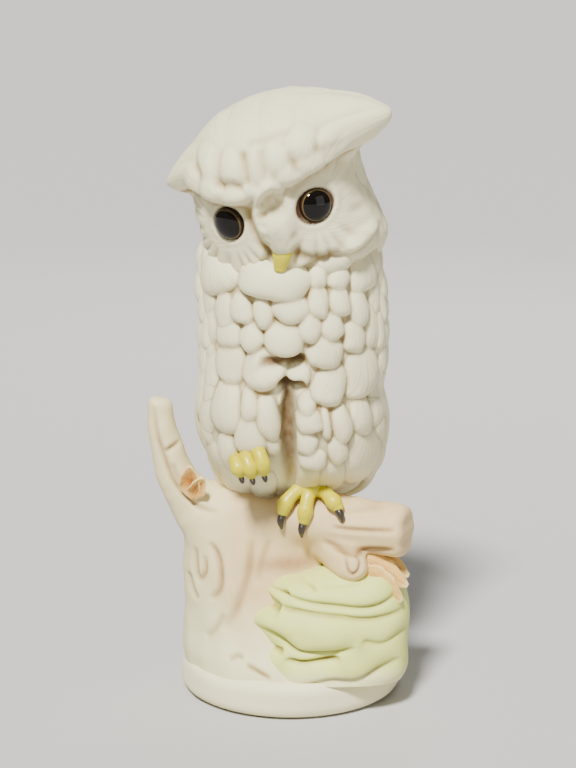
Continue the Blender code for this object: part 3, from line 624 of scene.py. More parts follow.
def makeBody():
    # the rings moved out by lumps of down, cut by the groove between the thighs and two short lines
    form = bodyForm
    u = np.linspace(-math.pi, math.pi, form["columns"], endpoint=False)
    turn, z = np.meshgrid(u - form["crowd"] * np.sin(u),
                          np.linspace(bodyRings[0, 0] + 0.02, bodyRings[-1, 0] - 0.02, form["rows"]))
    base = bodySurface(turn, z)
    petals = scallopRows(form["scallops"], armLength, underWing) + frontPetals()
    height, barb = petalsAround(turn * armLength, z, petals, 2 * math.pi * armLength, (1, -1))
    x = base[..., 0]
    front = ease(0.1, 0.4, np.cos(turn))
    lines = ("groove", "crevice", "notch")
    groove, crevice, notch = (strokeDepth(x, z, *form[line]) * front for line in lines)
    height = soften(height, 2) * (1 - 0.8 * groove)
    height -= sum(depth * cut for depth, cut in zip(form["cut"], (groove, crevice, notch)))
    normal = gridNormals(base)
    down = downward - normal * (downward * normal).sum(-1, keepdims=True)
    points = featherCoat(base, normal, down, height, barb, form["striae"])
    strength, middle, half = form["bellyShade"]
    bellyShade = strength * bell((z - middle) / half) * front
    # painted shade: dark brown in the groove between the thighs, the crevice under the bib and the notch
    deep = np.clip(0.95 * groove + crevice + notch, 0, 1) * ease(0.05, 0.45, cavity(height, 24, 0.8) + groove)
    yellow = spot(x, z, 7, 68, 7, 4.5) * front * 0.8    # round the standing foot
    # painted shade: a reddish-brown band where the body meets the log, and a spot round the raised foot
    rust = bell((z - 63) / 2.2) * front * ease(-20, -8, x) * ease(12, 3, x) * 0.7
    rust = rust + spot(x, z, -8, 75, 4.5, 5) * front * 0.45    # painted shade round the raised foot
    # crease mask: painted shade in the hollows between the lumps, and the band of painted shade across the
    # belly
    masks = plumageMasks(np.clip(cavity(height, 12, 1.5) + bellyShade, 0, 1), barb, deep=deep, yellow=yellow,
                         rust=np.clip(rust, 0, 1))
    piece = gridPiece("bodyPlumage", points, masks, plumageMaterial)
    finishPiece(piece, "white_bisque", "owl_body", "raised_thigh", "standing_thigh")


makeBody()


# wings: layered feathers over the body's sides

wingForm = {
    "columns": 190, "rows": 230, "turns": (1.02, 2.75), "heights": (60, 132),
    "lift": 0.9, "sink": 2.6, "inward": 3.6, "striae": 0.06,
    # flight feathers: how many, first and last turn, height, half width, half length
    "flight": (8, (1.45, 2.42), 84, 3.1, 20),
    # coverts: height, half length, how many, first and last turn
    "coverts": [(100, 11, 8, (1.3, 2.45)), (107, 7.6, 8, (1.24, 2.42)), (113.5, 6.4, 8, (1.22, 2.36)),
                (119.5, 5.6, 7, (1.28, 2.24)), (125, 5, 5, (1.4, 2.05))],
}


def wingPetals():
    # long flight feathers that lean to the back, then rows of coverts, shorter towards the shoulder
    rng = np.random.default_rng(5)
    count, turns, high, half, length = wingForm["flight"]
    petals = [(turn * armLength + 4, high - k * 1.1, half, length - k * 0.7, 0.2, 1.5 + 0.05 * k)
              for k, turn in enumerate(np.linspace(*turns, count))]
    for row, (z, length, count, turns) in enumerate(wingForm["coverts"]):
        for turn in np.linspace(*turns, count) + (row % 2) * 0.05:
            across, up, lean = (rng.uniform(-most, most) for most in (0.4, 0.5, 0.06))
            petals.append((turn * armLength + across, z - length * 0.5 + up, 3.9 - 0.1 * row, length,
                           0.14 + lean, 1.75 + 0.12 * row))
    return petals


def makeWing(name, side, node):
    # the body's own surface inside a turn and height range, moved out by feather heights and sunk where
    # there are none; the inner face lies inside the body
    form = wingForm
    turn, z = np.meshgrid(np.linspace(*form["turns"], form["columns"]),
                          np.linspace(*form["heights"], form["rows"]))
    height, barb = layPetals(turn * armLength, z, wingPetals(), -form["sink"], seed=8)
    base = bodySurface(turn * side, z)
    normal = gridNormals(base, wrap=False) * side
    height = soften(height, 1, wrap=False) + np.where(height > -1, form["lift"], 0)
    outer = featherCoat(base, normal, downward, height, barb, form["striae"])
    points = bothFaces(outer, base - normal * form["inward"])
    # painted shade in the hollows between the feathers
    crease = bothFaces(cavity(height, 8, 0.9), np.zeros_like(height))
    piece = gridPiece(name, points, plumageMasks(crease, bothFaces(barb)), plumageMaterial)
    finishPiece(piece, "white_bisque", node)


makeWing("rightWingFeathers", -1, "right_wing")
makeWing("leftWingFeathers", 1, "left_wing")


# head

headForm = {
    "columns": 430, "rows": 222, "crowd": 0.3,
    "middle": (-1.2, -5.2, 151.5), "turn": -14, "roll": -13, "bow": 14, "square": 2.25, "socket": 4.6,
    # height, half width, half depth, middle x
    "rings": [(-29, 1, 1, 0), (-28.4, 11, 9, 0), (-26, 19, 16, 0), (-21, 23.2, 21, -0.6),
              (-13, 24.2, 23.4, -2.4), (-4, 23.8, 24.2, -3.2), (4, 23.8, 23.2, -3), (10, 24, 22.1, -1.8),
              (15, 22.6, 20.7, -0.4), (19.6, 19, 18, 0.2), (23.2, 13.4, 13.4, 0.4), (25.3, 6.8, 6.8, 0.4),
              (25.9, 0.6, 0.6, 0.4)],
    # brow: x, height
    "brow": [(-40, 9), (-30, 8.4), (-24, 9), (-20, 8.8), (-16, 6.6), (-12.5, 5), (-8, 4.4), (-4, 4.8),
             (0, 6.6), (2.5, 7.4), (5.5, 6.2), (8, 6.6), (11, 7.6), (14, 8.4), (17, 9.2), (20, 9.8),
             (24, 9.4), (40, 9.4)],
    # tufts: root, tip, reach
    "tufts": [((20.5, -1, 17), (33.2, -1, 15), 13.5), ((-20.6, -2, 14.2), (-29.9, -3, 8), 12.5)],
    "eyes": [(-13.3, -1.1), (11.5, -1.8)],
    # lines on the face: points as x and z, radius
    "crescent": ([(5.2, 5.2), (2.2, 7), (-0.8, 6), (-2.6, 3.2), (-3.6, 0.2), (-3.4, -3.6), (-2.4, -7.5)],
                 1.4),
    "noseSide": ([(5.6, 4.6), (5.6, 1), (5, -3), (4.4, -7)], 1.4),
    "beside": ([(-6.2, 4), (-6.4, -1), (-5.6, -6), (-3.8, -10.5)], 1.3),
    "rightCheek": ([(-3.2, -9), (-4.6, -12.5), (-7.6, -15)], 1.2),
    "leftCheek": ([(3.4, -9.5), (4.4, -13), (8.5, -15.6), (15, -16.4)], 1.3),
    "scallops": {"seed": 21, "heights": (17, -27, -6), "step": 0.31, "from": 1.4, "jog": (0.5, 0.6),
                 "half": (4.4, 5.2), "length": (6, 7.2), "lean": 0.1, "proud": (1.3, 1.8)},
    "armLength": 25.0,
    # how far each feature stands out or lies in
    "depths": {"cap": 1.9, "underBrow": 0.9, "rim": 0.45, "dish": 1.5, "ridges": 0.5, "disc": 1.3, "jaw": 1.6,
               "crescent": 3.0, "noseSide": 1.0, "bulb": 3.6, "dimple": 0.9, "beside": 1.3, "cheek": 1.2,
               "lumps": 1.3, "overhang": 1.1},
}


def spin(axis, degrees):
    # turn about one axis, as a matrix
    c, s = math.cos(math.radians(degrees)), math.sin(math.radians(degrees))
    i, j = [(1, 2), (2, 0), (0, 1)][axis]
    matrix = np.eye(3)
    matrix[i, i] = matrix[j, j] = c
    matrix[j, i] = s
    matrix[i, j] = -s
    return matrix


headTurn = spin(2, headForm["turn"]) @ spin(1, headForm["roll"]) @ spin(0, headForm["bow"])

# soft lumps on the forehead and crown: middle x, middle z, half width, half height, turn, proud
crownDown = [
    (-6.9, 13.6, 4.6, 5, 0.05, 2.1), (-13.4, 15.4, 4.4, 4.8, 0.3, 1.5), (-0.6, 13.4, 3.2, 5.6, -0.05, 1.6),
    (4.8, 14, 4, 4.6, 0.1, 1.8), (11.6, 15.8, 4.8, 4.2, -0.2, 1.8), (19, 14, 5, 3.8, -0.4, 1.4),
    (-8.2, 6.9, 4.2, 2.8, 0.2, 1.8), (-14.6, 9.4, 4.6, 3.8, 0.4, 1.6), (-20, 11.6, 4, 4, 0.5, 1.1),
    (-2.8, 7.6, 3.2, 3.4, 0.00, 1.4), (1.8, 9, 2.8, 3.4, 0.00, 1.5), (6.6, 9.9, 3.4, 3.4, -0.1, 1.6),
    (12.6, 10.8, 4.2, 3.2, -0.3, 1.5), (-3.4, 21.6, 6.6, 5.2, 0.00, 0.5), (6.2, 21.8, 6.6, 5.2, 0.00, 0.5),
    (14.6, 21.4, 5.2, 4.6, -0.3, 0.5), (-12, 21.6, 5.6, 4.8, 0.3, 0.5),
]
# folds of the forehead: depth, radius, points as x and z
crownFolds = [
    (0.9, 1.2, [(-3, 17.5), (-3.3, 14), (-3.6, 8.5)]), (0.7, 1.1, [(1.6, 17), (1.3, 14), (0.9, 9)]),
    (0.7, 1.3, [(-11, 18), (-11.2, 13), (-10.8, 9)]), (0.7, 1.1, [(8.8, 15), (8.9, 12), (9.4, 8.8)]),
    (0.8, 1.1, [(-13, 9.4), (-8.5, 10.2), (-4.5, 8.4)]), (0.7, 1.2, [(13.6, 14), (16.8, 12.6), (20, 12.4)]),
    (0.8, 1.3, [(-18, 15), (-16.8, 12), (-18.6, 8.6)]), (0.6, 1.1, [(-2.6, 18.4), (4, 18.8), (10, 19)]),
]
# lobes of down under the two discs
ruffDown = [
    (11.5, -20.6, 7, 3.8, 0.1, 2.4), (18.8, -17.6, 4.6, 4.8, -0.3, 2), (-14.5, -20, 7, 3.4, -0.1, 1),
]


def faceRelief(x, z, above, sharp, face):
    # what the face adds to the head: dished discs with fine ridges round the eyes, the nose and the cheeks;
    # also gives the masks that go with them
    form, depths = headForm, headForm["depths"]
    height, grooves, rim = np.zeros((3,) + z.shape)
    below = 1 - ease(-0.6, 0.6, above)
    for number, (ex, ez) in enumerate(form["eyes"]):
        dx, dz = x - ex, z - ez
        away = np.sqrt(dx * dx + dz * dz)
        dish = depths["dish"] * np.clip(1 - (away / 9) ** 2, 0, 1) ** 2
        height += (depths["rim"] * bell((away - 5.5) / 0.8) * below - dish) * face
        angle = np.arctan2(dz, dx)
        ridges = 1 - 2 * np.abs(np.sin(angle * 11 + 0.8 * np.sin(angle * 5 + number))) ** 6
        own = (x > 2) if number else (x < -1)
        grooves += (ridges - 1) * ease(6.5, 13, away) * own * below * face
        rim = np.maximum(rim, bell(np.clip(away - form["socket"], 0, None) / 0.32) * face)
    # nose: a crescent ridge, a hollow beside it and a soft bulb down to the beak
    lines = ("crescent", "noseSide", "beside")
    crescent, noseSide, beside = (strokeDepth(x, z, *form[line]) for line in lines)
    bulb = bell(((x - 0.9) / 3.3) ** 2) * bell(((z + 6.4) / 5.6) ** 2)
    dimple = spot(x, z, 1.4, 1.8, 2, 2.4)
    cheek = (strokeDepth(x, z, *form["rightCheek"]) + strokeDepth(x, z, *form["leftCheek"])) * face
    nose = depths["crescent"] * crescent + depths["noseSide"] * noseSide + depths["bulb"] * bulb
    height += (nose - depths["dimple"] * dimple - depths["beside"] * beside) * face - depths["cheek"] * cheek
    # painted shade beside the nose, in a band just under the brow's edge and along the cheek lines
    crease = 0.5 * (beside + bell((above + 1.8) / 1.5) * (0.4 + 0.6 * sharp)) * face + 0.5 * cheek
    # the darkest colour is painted shade low in the cheek lines; the reddish-brown one is the eye rims' real
    # brown paint
    masks = {"deep": np.clip(0.55 * cheek * ease(-9, -12, z), 0, 1), "rust": np.clip(rim * 1.3, 0, 1),
             "yellow": spot(x, z, -0.8, -15, 3, 2) * face * 0.5}
    return height, grooves, crease, masks


def browLine(x):
    # the height of the brow above each x: the listed points, evened out over 4.5 mm
    fine = np.linspace(-40, 40, 161)
    line = np.interp(fine, *np.array(headForm["brow"]).T)
    line = np.convolve(np.pad(line, 4, mode="edge"), np.ones(9) / 9, "valid")
    return np.interp(x, fine, line)


def makeHead():
    # rings a little squarer than an ellipse, with a cap that stops at the brow, the face below it, scallops
    # on the nape and two drawn-out tufts; gives back where the two eyes sit
    form = headForm
    rings = curveThrough(form["rings"], form["rows"])
    u = np.linspace(-math.pi, math.pi, form["columns"], endpoint=False)
    turn, z = np.meshgrid(u - form["crowd"] * np.sin(u), rings[:, 0])
    sine, cosine = np.sin(turn), np.cos(turn)
    square = squareness(sine, cosine, form["square"])
    x = rings[:, 3:4] + rings[:, 1:2] * sine * square
    points = np.stack((x, -rings[:, 2:3] * cosine * square, z), -1)
    normal = gridNormals(points)
    front = ease(-0.15, 0.35, cosine)
    face = ease(0, 0.5, cosine)
    above = z - browLine(x)
    sharp = ease(9, 17, np.abs(x + 1))    # the brow's edge is crisper towards the tufts
    nose = bell((x - 0.8) / 5.2)
    cap = ease(0, 1, (above + 2.0 - 1.1 * sharp + 5.0 * nose) / (3.6 - 1.9 * sharp + 6.0 * nose))
    cap *= bell(np.clip(above, 0, None) / 17)
    depths = form["depths"]
    underBrow = (1 - ease(-0.5, 0.5, above)) * bell(above / 7) * (1 - nose)
    height = (depths["cap"] * cap - depths["underBrow"] * underBrow) * front
    relief, grooves, faceCrease, faceMasks = faceRelief(x, z, above, sharp, face)
    low = -17.0 - 0.6 * np.cos(x * 0.35)    # lower edge of the discs
    disc = ease(-1, 1, z - low)
    swell = depths["disc"] * disc * bell(np.clip(z - low, 0, None) / 6)
    height += relief + (swell - depths["jaw"] * (1 - disc)) * front
    height += depths["ridges"] * soften(grooves, 2) * disc
    lumps, _ = layPetals(x, z, crownDown, 0, seed=2)
    ruffs, _ = layPetals(x, z, ruffDown, 0, seed=5)
    folds = sum(depth * strokeDepth(x, z, line, radius) for depth, radius, line in crownFolds)
    arm = form["armLength"]
    scallops = scallopRows(form["scallops"], arm)
    nape, barb = petalsAround(turn * arm, z, scallops, 2 * math.pi * arm, (1,), seed=4)
    lumps = depths["lumps"] * soften(lumps, 3) * ease(-0.5, 2, above)
    height += (lumps + soften(ruffs, 3) - folds) * front
    height = soften(height + soften(nape, 2) * (1 - ease(-0.3, 0.15, cosine)), 1)
    overhang = (depths["overhang"] * cap * ease(4, 0, above) * front * (1 - nose))[..., None]
    points = points + normal * height[..., None] + downward * overhang
    for root, tip, radius in form["tufts"]:
        away = np.linalg.norm((points - np.array(root)) * np.array([0.75, 1, 1]), axis=-1)
        pull = np.clip(1 - (away / radius) ** 1.7, 0, 1) ** 1.6
        points = points + (np.array(tip) - np.array(root)) * pull[..., None]
    faceBarb = np.stack((np.arctan2(x, z + 6) * 30, np.hypot(x, z), np.zeros_like(z)), -1)
    barb = np.where((cosine > 0.1)[..., None], faceBarb, barb)
    # painted shade in the hollows, the forehead's folds, beside the nose and under the brow
    crease = np.clip(cavity(height, 10, 1.5) + 0.15 * folds + faceCrease, 0, 1)
    points = points @ headTurn.T + np.array(form["middle"])
    seats = []
    for ex, ez in form["eyes"]:
        away = np.hypot(x - ex, z - ez)
        edge = (np.abs(away - form["socket"]) < 0.5) & (cosine > 0)
        outward = headTurn @ normal[edge].mean(0)
        seats.append((points[edge].mean(0), outward / np.linalg.norm(outward)))
    piece = gridPiece("headPlumage", points, plumageMasks(crease, barb, **faceMasks), plumageMaterial)
    finishPiece(piece, "white_bisque", "owl_head", "right_ear_tuft", "left_ear_tuft")
    return seats


eyeSeats = makeHead()


# eyes

eyeForm = {"radius": 4.7, "proud": 2.7, "back": 2.6, "sink": 0.2, "rows": 64, "columns": 96}


def makeEye(name, node, seat):
    # a lens turned about the eye's axis: the front a dome, the back a shallower dome inside the head
    form = eyeForm
    middle, outward = seat
    side = np.cross(outward, [0, 0, 1])
    side /= np.linalg.norm(side)
    up = np.cross(side, outward)
    slope = np.linspace(0.02, math.pi - 0.02, form["rows"])[:, None, None]
    turn = np.linspace(0, 2 * math.pi, form["columns"], endpoint=False)[:, None]
    radius = form["radius"] * np.sin(slope)
    depth = np.where(slope < math.pi / 2, form["proud"], form["back"]) * np.cos(slope)
    points = (middle - outward * form["sink"] + depth * outward + radius * np.cos(turn) * side
              + radius * np.sin(turn) * up)
    ring = np.broadcast_to(radius[..., 0] / form["radius"], points.shape[:2])
    piece = gridPiece(name, points, {"ring": ring}, eyeMaterial)
    finishPiece(piece, "dark_glass", node)


makeEye("rightEyeGlass", "right_eye", eyeSeats[0])
makeEye("leftEyeGlass", "left_eye", eyeSeats[1])


# beak, toes and talons: shapes carried along a path

def sweep(path, across, widths, thicknesses, rows, columns, cap=0.9):
    # an ellipse carried along a smooth path, its ends rounded by a quarter circle; also how far along
    line = curveThrough(np.column_stack((path, widths, thicknesses)), rows)
    centre, half = line[:, :3], line[:, 3:5] / 2
    tangent = np.gradient(centre, axis=0)
    tangent /= np.linalg.norm(tangent, axis=1, keepdims=True)
    dome = np.linspace(0.08, math.pi / 2, 9)[:-1]
    first = centre[0] - tangent[0] * (half[0, 0] * cap * np.cos(dome))[:, None]
    last = centre[-1] + tangent[-1] * (half[-1, 0] * cap * np.cos(dome[::-1]))[:, None]
    centre = np.concatenate((first, centre, last))
    half = np.concatenate((half[0] * np.sin(dome)[:, None], half, half[-1] * np.sin(dome[::-1])[:, None]))
    tangent = np.concatenate((np.repeat(tangent[:1], 8, 0), tangent, np.repeat(tangent[-1:], 8, 0)))
    side = np.array(across, float) - tangent * (tangent @ np.array(across, float))[:, None]
    side /= np.linalg.norm(side, axis=1, keepdims=True)
    other = np.cross(tangent, side)
    turn = np.linspace(0, 2 * math.pi, columns, endpoint=False)
    points = (centre[:, None] + (half[:, :1] * np.cos(turn))[..., None] * side[:, None]
              + (half[:, 1:] * np.sin(turn))[..., None] * other[:, None])
    return points, np.linspace(0, 1, len(centre))[:, None] * np.ones(columns)


# tip and root are measured from the lowest and the highest corner of the beak's box
beakForm = {"tip": (1.5, 1, 3.4), "root": (-2.2, 0.4, 0.4), "bridge": (0, -2.3, 1.4), "across": (1, 0, 0.2),
            "size": ([5.4, 5.7, 3.3], [4.6, 4.4, 2], 40, 36, 0.5)}    # widths, thicknesses, grid, cap


def makeBeak():
    # a hooked horn from the root over the bridge to the tip
    form = beakForm
    low, high = boxOf("beak")
    tip, root = low + form["tip"], high + form["root"]
    bridge = (root + tip) / 2 + form["bridge"]
    points, along = sweep([root, bridge, tip], form["across"], *form["size"])
    # darker towards the root, where the beak meets the face: painted shade
    piece = gridPiece("beakHorn", points, {"crease": ease(0.35, 0, along)}, yellowMaterial)
    finishPiece(piece, "yellow_enamel", "beak")


makeBeak()

toeForm = {"width": 4.2, "knuckle": 0.22, "taper": [0.82, 1, 0.98, 0.86], "rows": 60, "columns": 32,
           "raisedTalon": 1.7, "perchedTalon": 2.4, "talonTaper": [1, 0.85, 0.32]}
# each foot's toes from the root to the tip, and the talons of the standing foot
raisedPaths = {
    "inner": [(-9.6, -21.6, 78.4), (-9, -25.4, 78.4), (-8.1, -26.9, 76), (-7.7, -26.2, 73.2)],
    "middle": [(-12.6, -21.6, 76.4), (-12.5, -25.3, 76.6), (-11.6, -26.8, 74.6), (-11.1, -26.2, 72.4)],
    "outer": [(-15.6, -21.6, 75.2), (-15.5, -24.8, 75.6), (-14.8, -26.2, 74.2), (-14.2, -25.8, 72.7)],
}
perchedPaths = {
    "inner": [(4.4, -11.2, 64.2), (1.6, -13.6, 63.6), (-1.2, -15.2, 61), (-2.3, -15.4, 58.2)],
    "middle": [(5.8, -12, 64.2), (5, -15.4, 62.8), (4.2, -17.2, 59.4), (3.8, -17.3, 56.2)],
    "outer": [(7.4, -11.8, 64.2), (10, -15.6, 63.6), (12.2, -18, 61.8), (13.4, -18.6, 60.4)],
}
talonPaths = {
    "inner": [(-2.6, -15.6, 56.9), (-3, -16.3, 55.2), (-2.7, -15.9, 53.2)],
    "middle": [(3.4, -17.4, 54.9), (3, -18.1, 53.2), (3.1, -17.6, 51.2)],
    "outer": [(13.5, -19.2, 59.6), (14.3, -20, 58.2), (14.7, -19.6, 56.4)],
}
raisedTalon = [(0.1, 0, -1.2), (0.5, -0.7, -2.3), (0.6, -0.2, -3.1)]    # from the toe's tip
# the perched foot's pad: the ends' x from its box, the path's y and z, the x of its middle
padForm = {"inset": (1, -1.2), "path": [(-11.8, 63), (-13, 64.6), (-12.2, 63.4)], "middle": 5.6,
           "size": ([5, 6.6, 5], [4.4, 5.4, 4.4], 40, 32)}    # widths, thicknesses, grid


def makeToe(name, node, path):
    # a tube with knuckles: the width swells by a sine along the toe
    form = toeForm
    widths = np.interp(np.linspace(0, 1, len(path)), [0, 0.3, 0.7, 1], form["taper"]) * form["width"]
    points, along = sweep(path, (1, 0.2, 0), widths, widths * 0.95, form["rows"], form["columns"])
    middle = points.mean(1, keepdims=True)
    swell = 1 + form["knuckle"] * (0.5 - 0.5 * np.cos(along * 2 * math.pi * 2)) ** 1.5 - 0.06
    points = middle + (points - middle) * swell[..., None]
    # painted shade in the knuckle creases and at the toe's root
    crease = cavity(swell, 4, 6) + ease(0.12, 0, along) * 0.8
    piece = gridPiece(name, points, {"crease": np.clip(crease, 0, 1)}, yellowMaterial)
    finishPiece(piece, "yellow_enamel", node)


def makeTalon(name, node, path, width):
    # a cone that narrows to a blunt point along a hooked path
    widths = [width * share for share in toeForm["talonTaper"]]
    points, along = sweep(path, (1, 0.2, 0), widths, widths, 30, 24)
    piece = gridPiece(name, points, {"crease": ease(0.8, 1, along)}, talonMaterial)
    finishPiece(piece, "black_enamel", node)


def makePad():
    # a short thick roll across the log, which the standing toes grow from
    form = padForm
    low, high = boxOf("perched_foot")
    across = (low[0] + form["inset"][0], form["middle"], high[0] + form["inset"][1])
    path = [(x, y, z) for x, (y, z) in zip(across, form["path"])]
    points, _ = sweep(path, (0, 1, 0), *form["size"])
    piece = gridPiece("perchedFootPad", points, {"crease": np.zeros(points.shape[:2])}, yellowMaterial)
    finishPiece(piece, "yellow_enamel", "perched_foot")


def makeFoot(side, paths, talons, width):
    for toe, path in paths.items():
        makeToe(side + "Toe" + toe.capitalize(), side + "_toe_" + toe, path)
        makeTalon(side + "Talon" + toe.capitalize(), side + "_talon_" + toe, talons[toe], width)


raisedTalons = {toe: np.array(path[-1]) + raisedTalon for toe, path in raisedPaths.items()}
makeFoot("raised", raisedPaths, raisedTalons, toeForm["raisedTalon"])
makePad()
makeFoot("perched", perchedPaths, talonPaths, toeForm["perchedTalon"])


# stump: trunk, log, stub and branch run into each other like one casting

stumpForm = {
    "voxel": 0.5, "blend": 5, "stubBlend": 3, "low": (-46, -32, 8), "high": (38, 32, 93),
    # height, half width, half depth, middle x, middle y
    "trunk": [(9, 31.6, 30, -0.4, 0.4), (14, 31.4, 28.4, -1.2, 0.8), (20, 29.8, 24.6, -2.4, 1.2),
              (27, 28, 21.6, -4, 1.6), (35, 25.6, 18.8, -6.6, 1.6), (43, 22.6, 16, -9, 1),
              (50, 20, 12.6, -10.6, 0.4), (56, 15.5, 8.6, -11.5, 0), (60.5, 8, 4, -12, 0)],
    # points along each limb with the radius there
    "log": [(-20, 1, 53, 8), (-8, -4.2, 54, 8.3), (5, -8.5, 54.4, 8.2), (18, -12.6, 53.6, 7.9),
            (33.4, -17, 52.3, 7.7)],
    "stub": [(11, -7, 48, 6.2), (14.5, -15.5, 45.2, 5.5), (17.2, -20.6, 43.6, 4.9)],
    "branch": [(-18, 0.5, 48.5, 8.4), (-27, 0, 54.5, 7.3), (-33.2, 0, 63.5, 5.9), (-36.4, 0, 73, 4.9),
               (-38, 0.3, 81.5, 4), (-38.2, 0.5, 88.5, 3.5)],
    # flat ends of the log and the branch: point, way out, rounding
    "logEnd": ((33.6, -17, 52.3), (0.93, -0.35, -0.02), 3),
    "branchEnd": ((-38.4, 0.5, 88), (0.2, 0, 0.98), 2.4),
    # recess under the stub: middle, squeeze, radius, rounding
    "recess": ((2, -24, 43.5), (0.6, 1, 1.5), 5, 2),
    "carved": 1.25, "flutes": (0.28, 0.1), "logFlutes": 0.16, "uneven": 0.15,    # depths
}


def limbDistance(space, points):
    # distance to a chain of short tapered sticks, less their radius
    line = curveThrough(points, 14)
    nearest = np.full(space.shape[:-1], 1e9, np.float32)
    for (start, end) in zip(line[:-1], line[1:]):
        way = end[:3] - start[:3]
        place = np.clip(((space - start[:3]) @ way) / (way @ way), 0, 1)
        away = np.linalg.norm(space - start[:3] - place[..., None] * way, axis=-1)
        nearest = np.minimum(nearest, away - (start[3] + (end[3] - start[3]) * place))
    return nearest


def meltTogether(first, second, blend):
    # the lower of two distances, rounded where they are nearly the same
    h = np.clip(0.5 + 0.5 * (second - first) / blend, 0, 1)
    return second + (first - second) * h - blend * h * (1 - h)


def cutAway(solid, cutter, blend):
    # the solid without the cutter, rounded along the new edge
    return -meltTogether(-solid, cutter, blend)


def stumpDistance(space):
    # distance to the whole casting: elliptical trunk, log and branch with flat ends, stub, less the recess
    form = stumpForm
    z = space[..., 2]
    rx, ry, cx, cy = ringAt(ringTable(form["trunk"], 200), z).astype(np.float32)
    ring = np.sqrt(((space[..., 0] - cx) / rx) ** 2 + ((space[..., 1] - cy) / ry) ** 2)
    solid = np.maximum((ring - 1) * np.minimum(rx, ry), np.maximum(z - 60, 9.4 - z))
    for limb in ("log", "branch"):
        point, way, rounding = form[limb + "End"]
        beyond = (space - np.array(point)) @ np.array(way)
        cut = cutAway(limbDistance(space, form[limb]), -beyond, rounding)
        solid = meltTogether(solid, cut, form["blend"])
    solid = meltTogether(solid, limbDistance(space, form["stub"]), form["stubBlend"])
    middle, squeeze, radius, rounding = form["recess"]
    hole = np.linalg.norm((space - np.array(middle)) * np.array(squeeze), axis=-1) - radius
    return cutAway(solid, hole, rounding)


def makeStump():
    # the zero level of the distance, then carved lines, long flutes and unevenness along its normals
    step, low, high = (stumpForm[key] for key in ("voxel", "low", "high"))
    axes = [np.arange(a, b, step, dtype=np.float32) for a, b in zip(low, high)]
    solid = stumpDistance(np.stack(np.meshgrid(*axes, indexing="ij"), -1))
    grid = openvdb.FloatGrid(3.0)
    grid.copyFromArray(np.ascontiguousarray(solid, np.float32))
    verts, _, quads = grid.convertToPolygons(isovalue=0, adaptivity=0)
    verts = verts.astype(float) * step + np.array(low)
    normals = vertexNormals(verts, quads)
    x, y, z = verts.T
    front = ease(4, -6, y)
    strokes = [depth * strokeDepth(x, z, line, radius * 0.85) for depth, radius, line in stumpLines]
    carved = stumpForm["carved"] * sum(strokes) * front
    around = np.arctan2(y, x + 8)
    broad, fine = stumpForm["flutes"]
    flutes = np.sin(around * 9 + 0.06 * z + 1.4 * np.sin(z * 0.11)) * broad
    flutes = (flutes + np.sin(around * 21 + 0.11 * z) * fine) * (1 - ease(46, 54, z))
    logFlutes = np.sin((z - 53) * 1.1 + 0.05 * x + 0.8 * np.sin(x * 0.2)) * ease(6, 14, x)
    height = (stumpForm["logFlutes"] * logFlutes - carved + flutes * (1 - 0.6 * front)
              + stumpForm["uneven"] * uneven(verts, 9, 4))
    verts = verts + normals * height[:, None]
    # painted shade in the carved lines and the hollows
    crease = np.clip(np.clip(carved * 0.6, 0, 1) + meshCavity(verts, quads, 10, 1), 0, 1)
    pale = ease(34, 15, z) + 0.7 * ease(-14, -26, x)
    grey = 0.5 * ease(-16, -30, x) * ease(60, 30, z)
    rust = bell((z - 62) / 2.2) * ease(-4, -10, y) * bell((x - 2) / 14) * 0.5    # painted shadow cast by the owl onto the stump
    rust += spot(x, z, -0.5, 42, 8.5, 2.4) * front    # painted shade in the recess over the moss
    masks = {"crease": crease, "pale": np.clip(pale, 0, 1), "grey": grey, "rust": np.clip(rust, 0, 1)}
    piece = meshPiece("stumpBark", verts, quads, [], masks, barkMaterial)
    finishPiece(piece, "bark_bisque", "stump_trunk", "perch_log", "log_stub", "upright_branch")


# carved lines on the front of the stump: depth, radius, points as x and z
stumpLines = [
    (0.9, 0.9, [(-28.1, 45), (-28.2, 40.5), (-27.1, 35.9), (-25.3, 38.4), (-25.3, 43.2)]),
    (1, 1.1, [(-23.8, 47.4), (-21.5, 43.8), (-20.4, 38.4), (-21, 33.8), (-23.7, 30.5)]),
    (0.8, 1, [(-30.4, 36.8), (-29.4, 32.8), (-27.2, 29.5)]),
    (0.8, 1.5, [(-11.1, 49.3), (-12, 41.2), (-13.5, 35.1), (-16.4, 28.2), (-19.9, 22.7)]),
    (0.6, 1.1, [(-19.3, 27.6), (-22.2, 22.7), (-25.4, 19.6)]),
    (0.5, 1.3, [(-6, 49.3), (-8.3, 42.7), (-9.5, 36.7)]),
    (0.9, 0.9, [(11.1, 54.4), (16.8, 54.2), (23.9, 54.4), (29.8, 54.8)]),
    (1.2, 1.1, [(8.8, 49.6), (15.4, 48.4), (21.1, 48), (29.8, 48.8)]),
    (0.5, 1, [(14, 58.8), (21.2, 60), (26.9, 60.5)]),
    (0.8, 0.7, [(15.3, 47.9), (15.6, 44.9), (17.1, 42.5), (19.1, 43.4), (19.9, 45.8), (18.5, 47.9)]),
    (0.9, 1, [(-40.1, 86.6), (-39.3, 79.1), (-37.1, 71.6), (-34, 64), (-28.2, 57.9), (-20.9, 55.5)]),
    (0.9, 0.8, [(-37, 72.8), (-34.7, 74.3), (-32.3, 75.5)]),
    (0.7, 1.1, [(-34.7, 69.7), (-32.5, 64.9), (-27.8, 60.6)]),
    (0.6, 0.8, [(-18, 15.4), (-15.7, 16.9), (-13.7, 16.6)]),
    (0.9, 0.8, [(-13.1, 15.1), (-9.4, 13.6), (-5.7, 11.8)]),
]


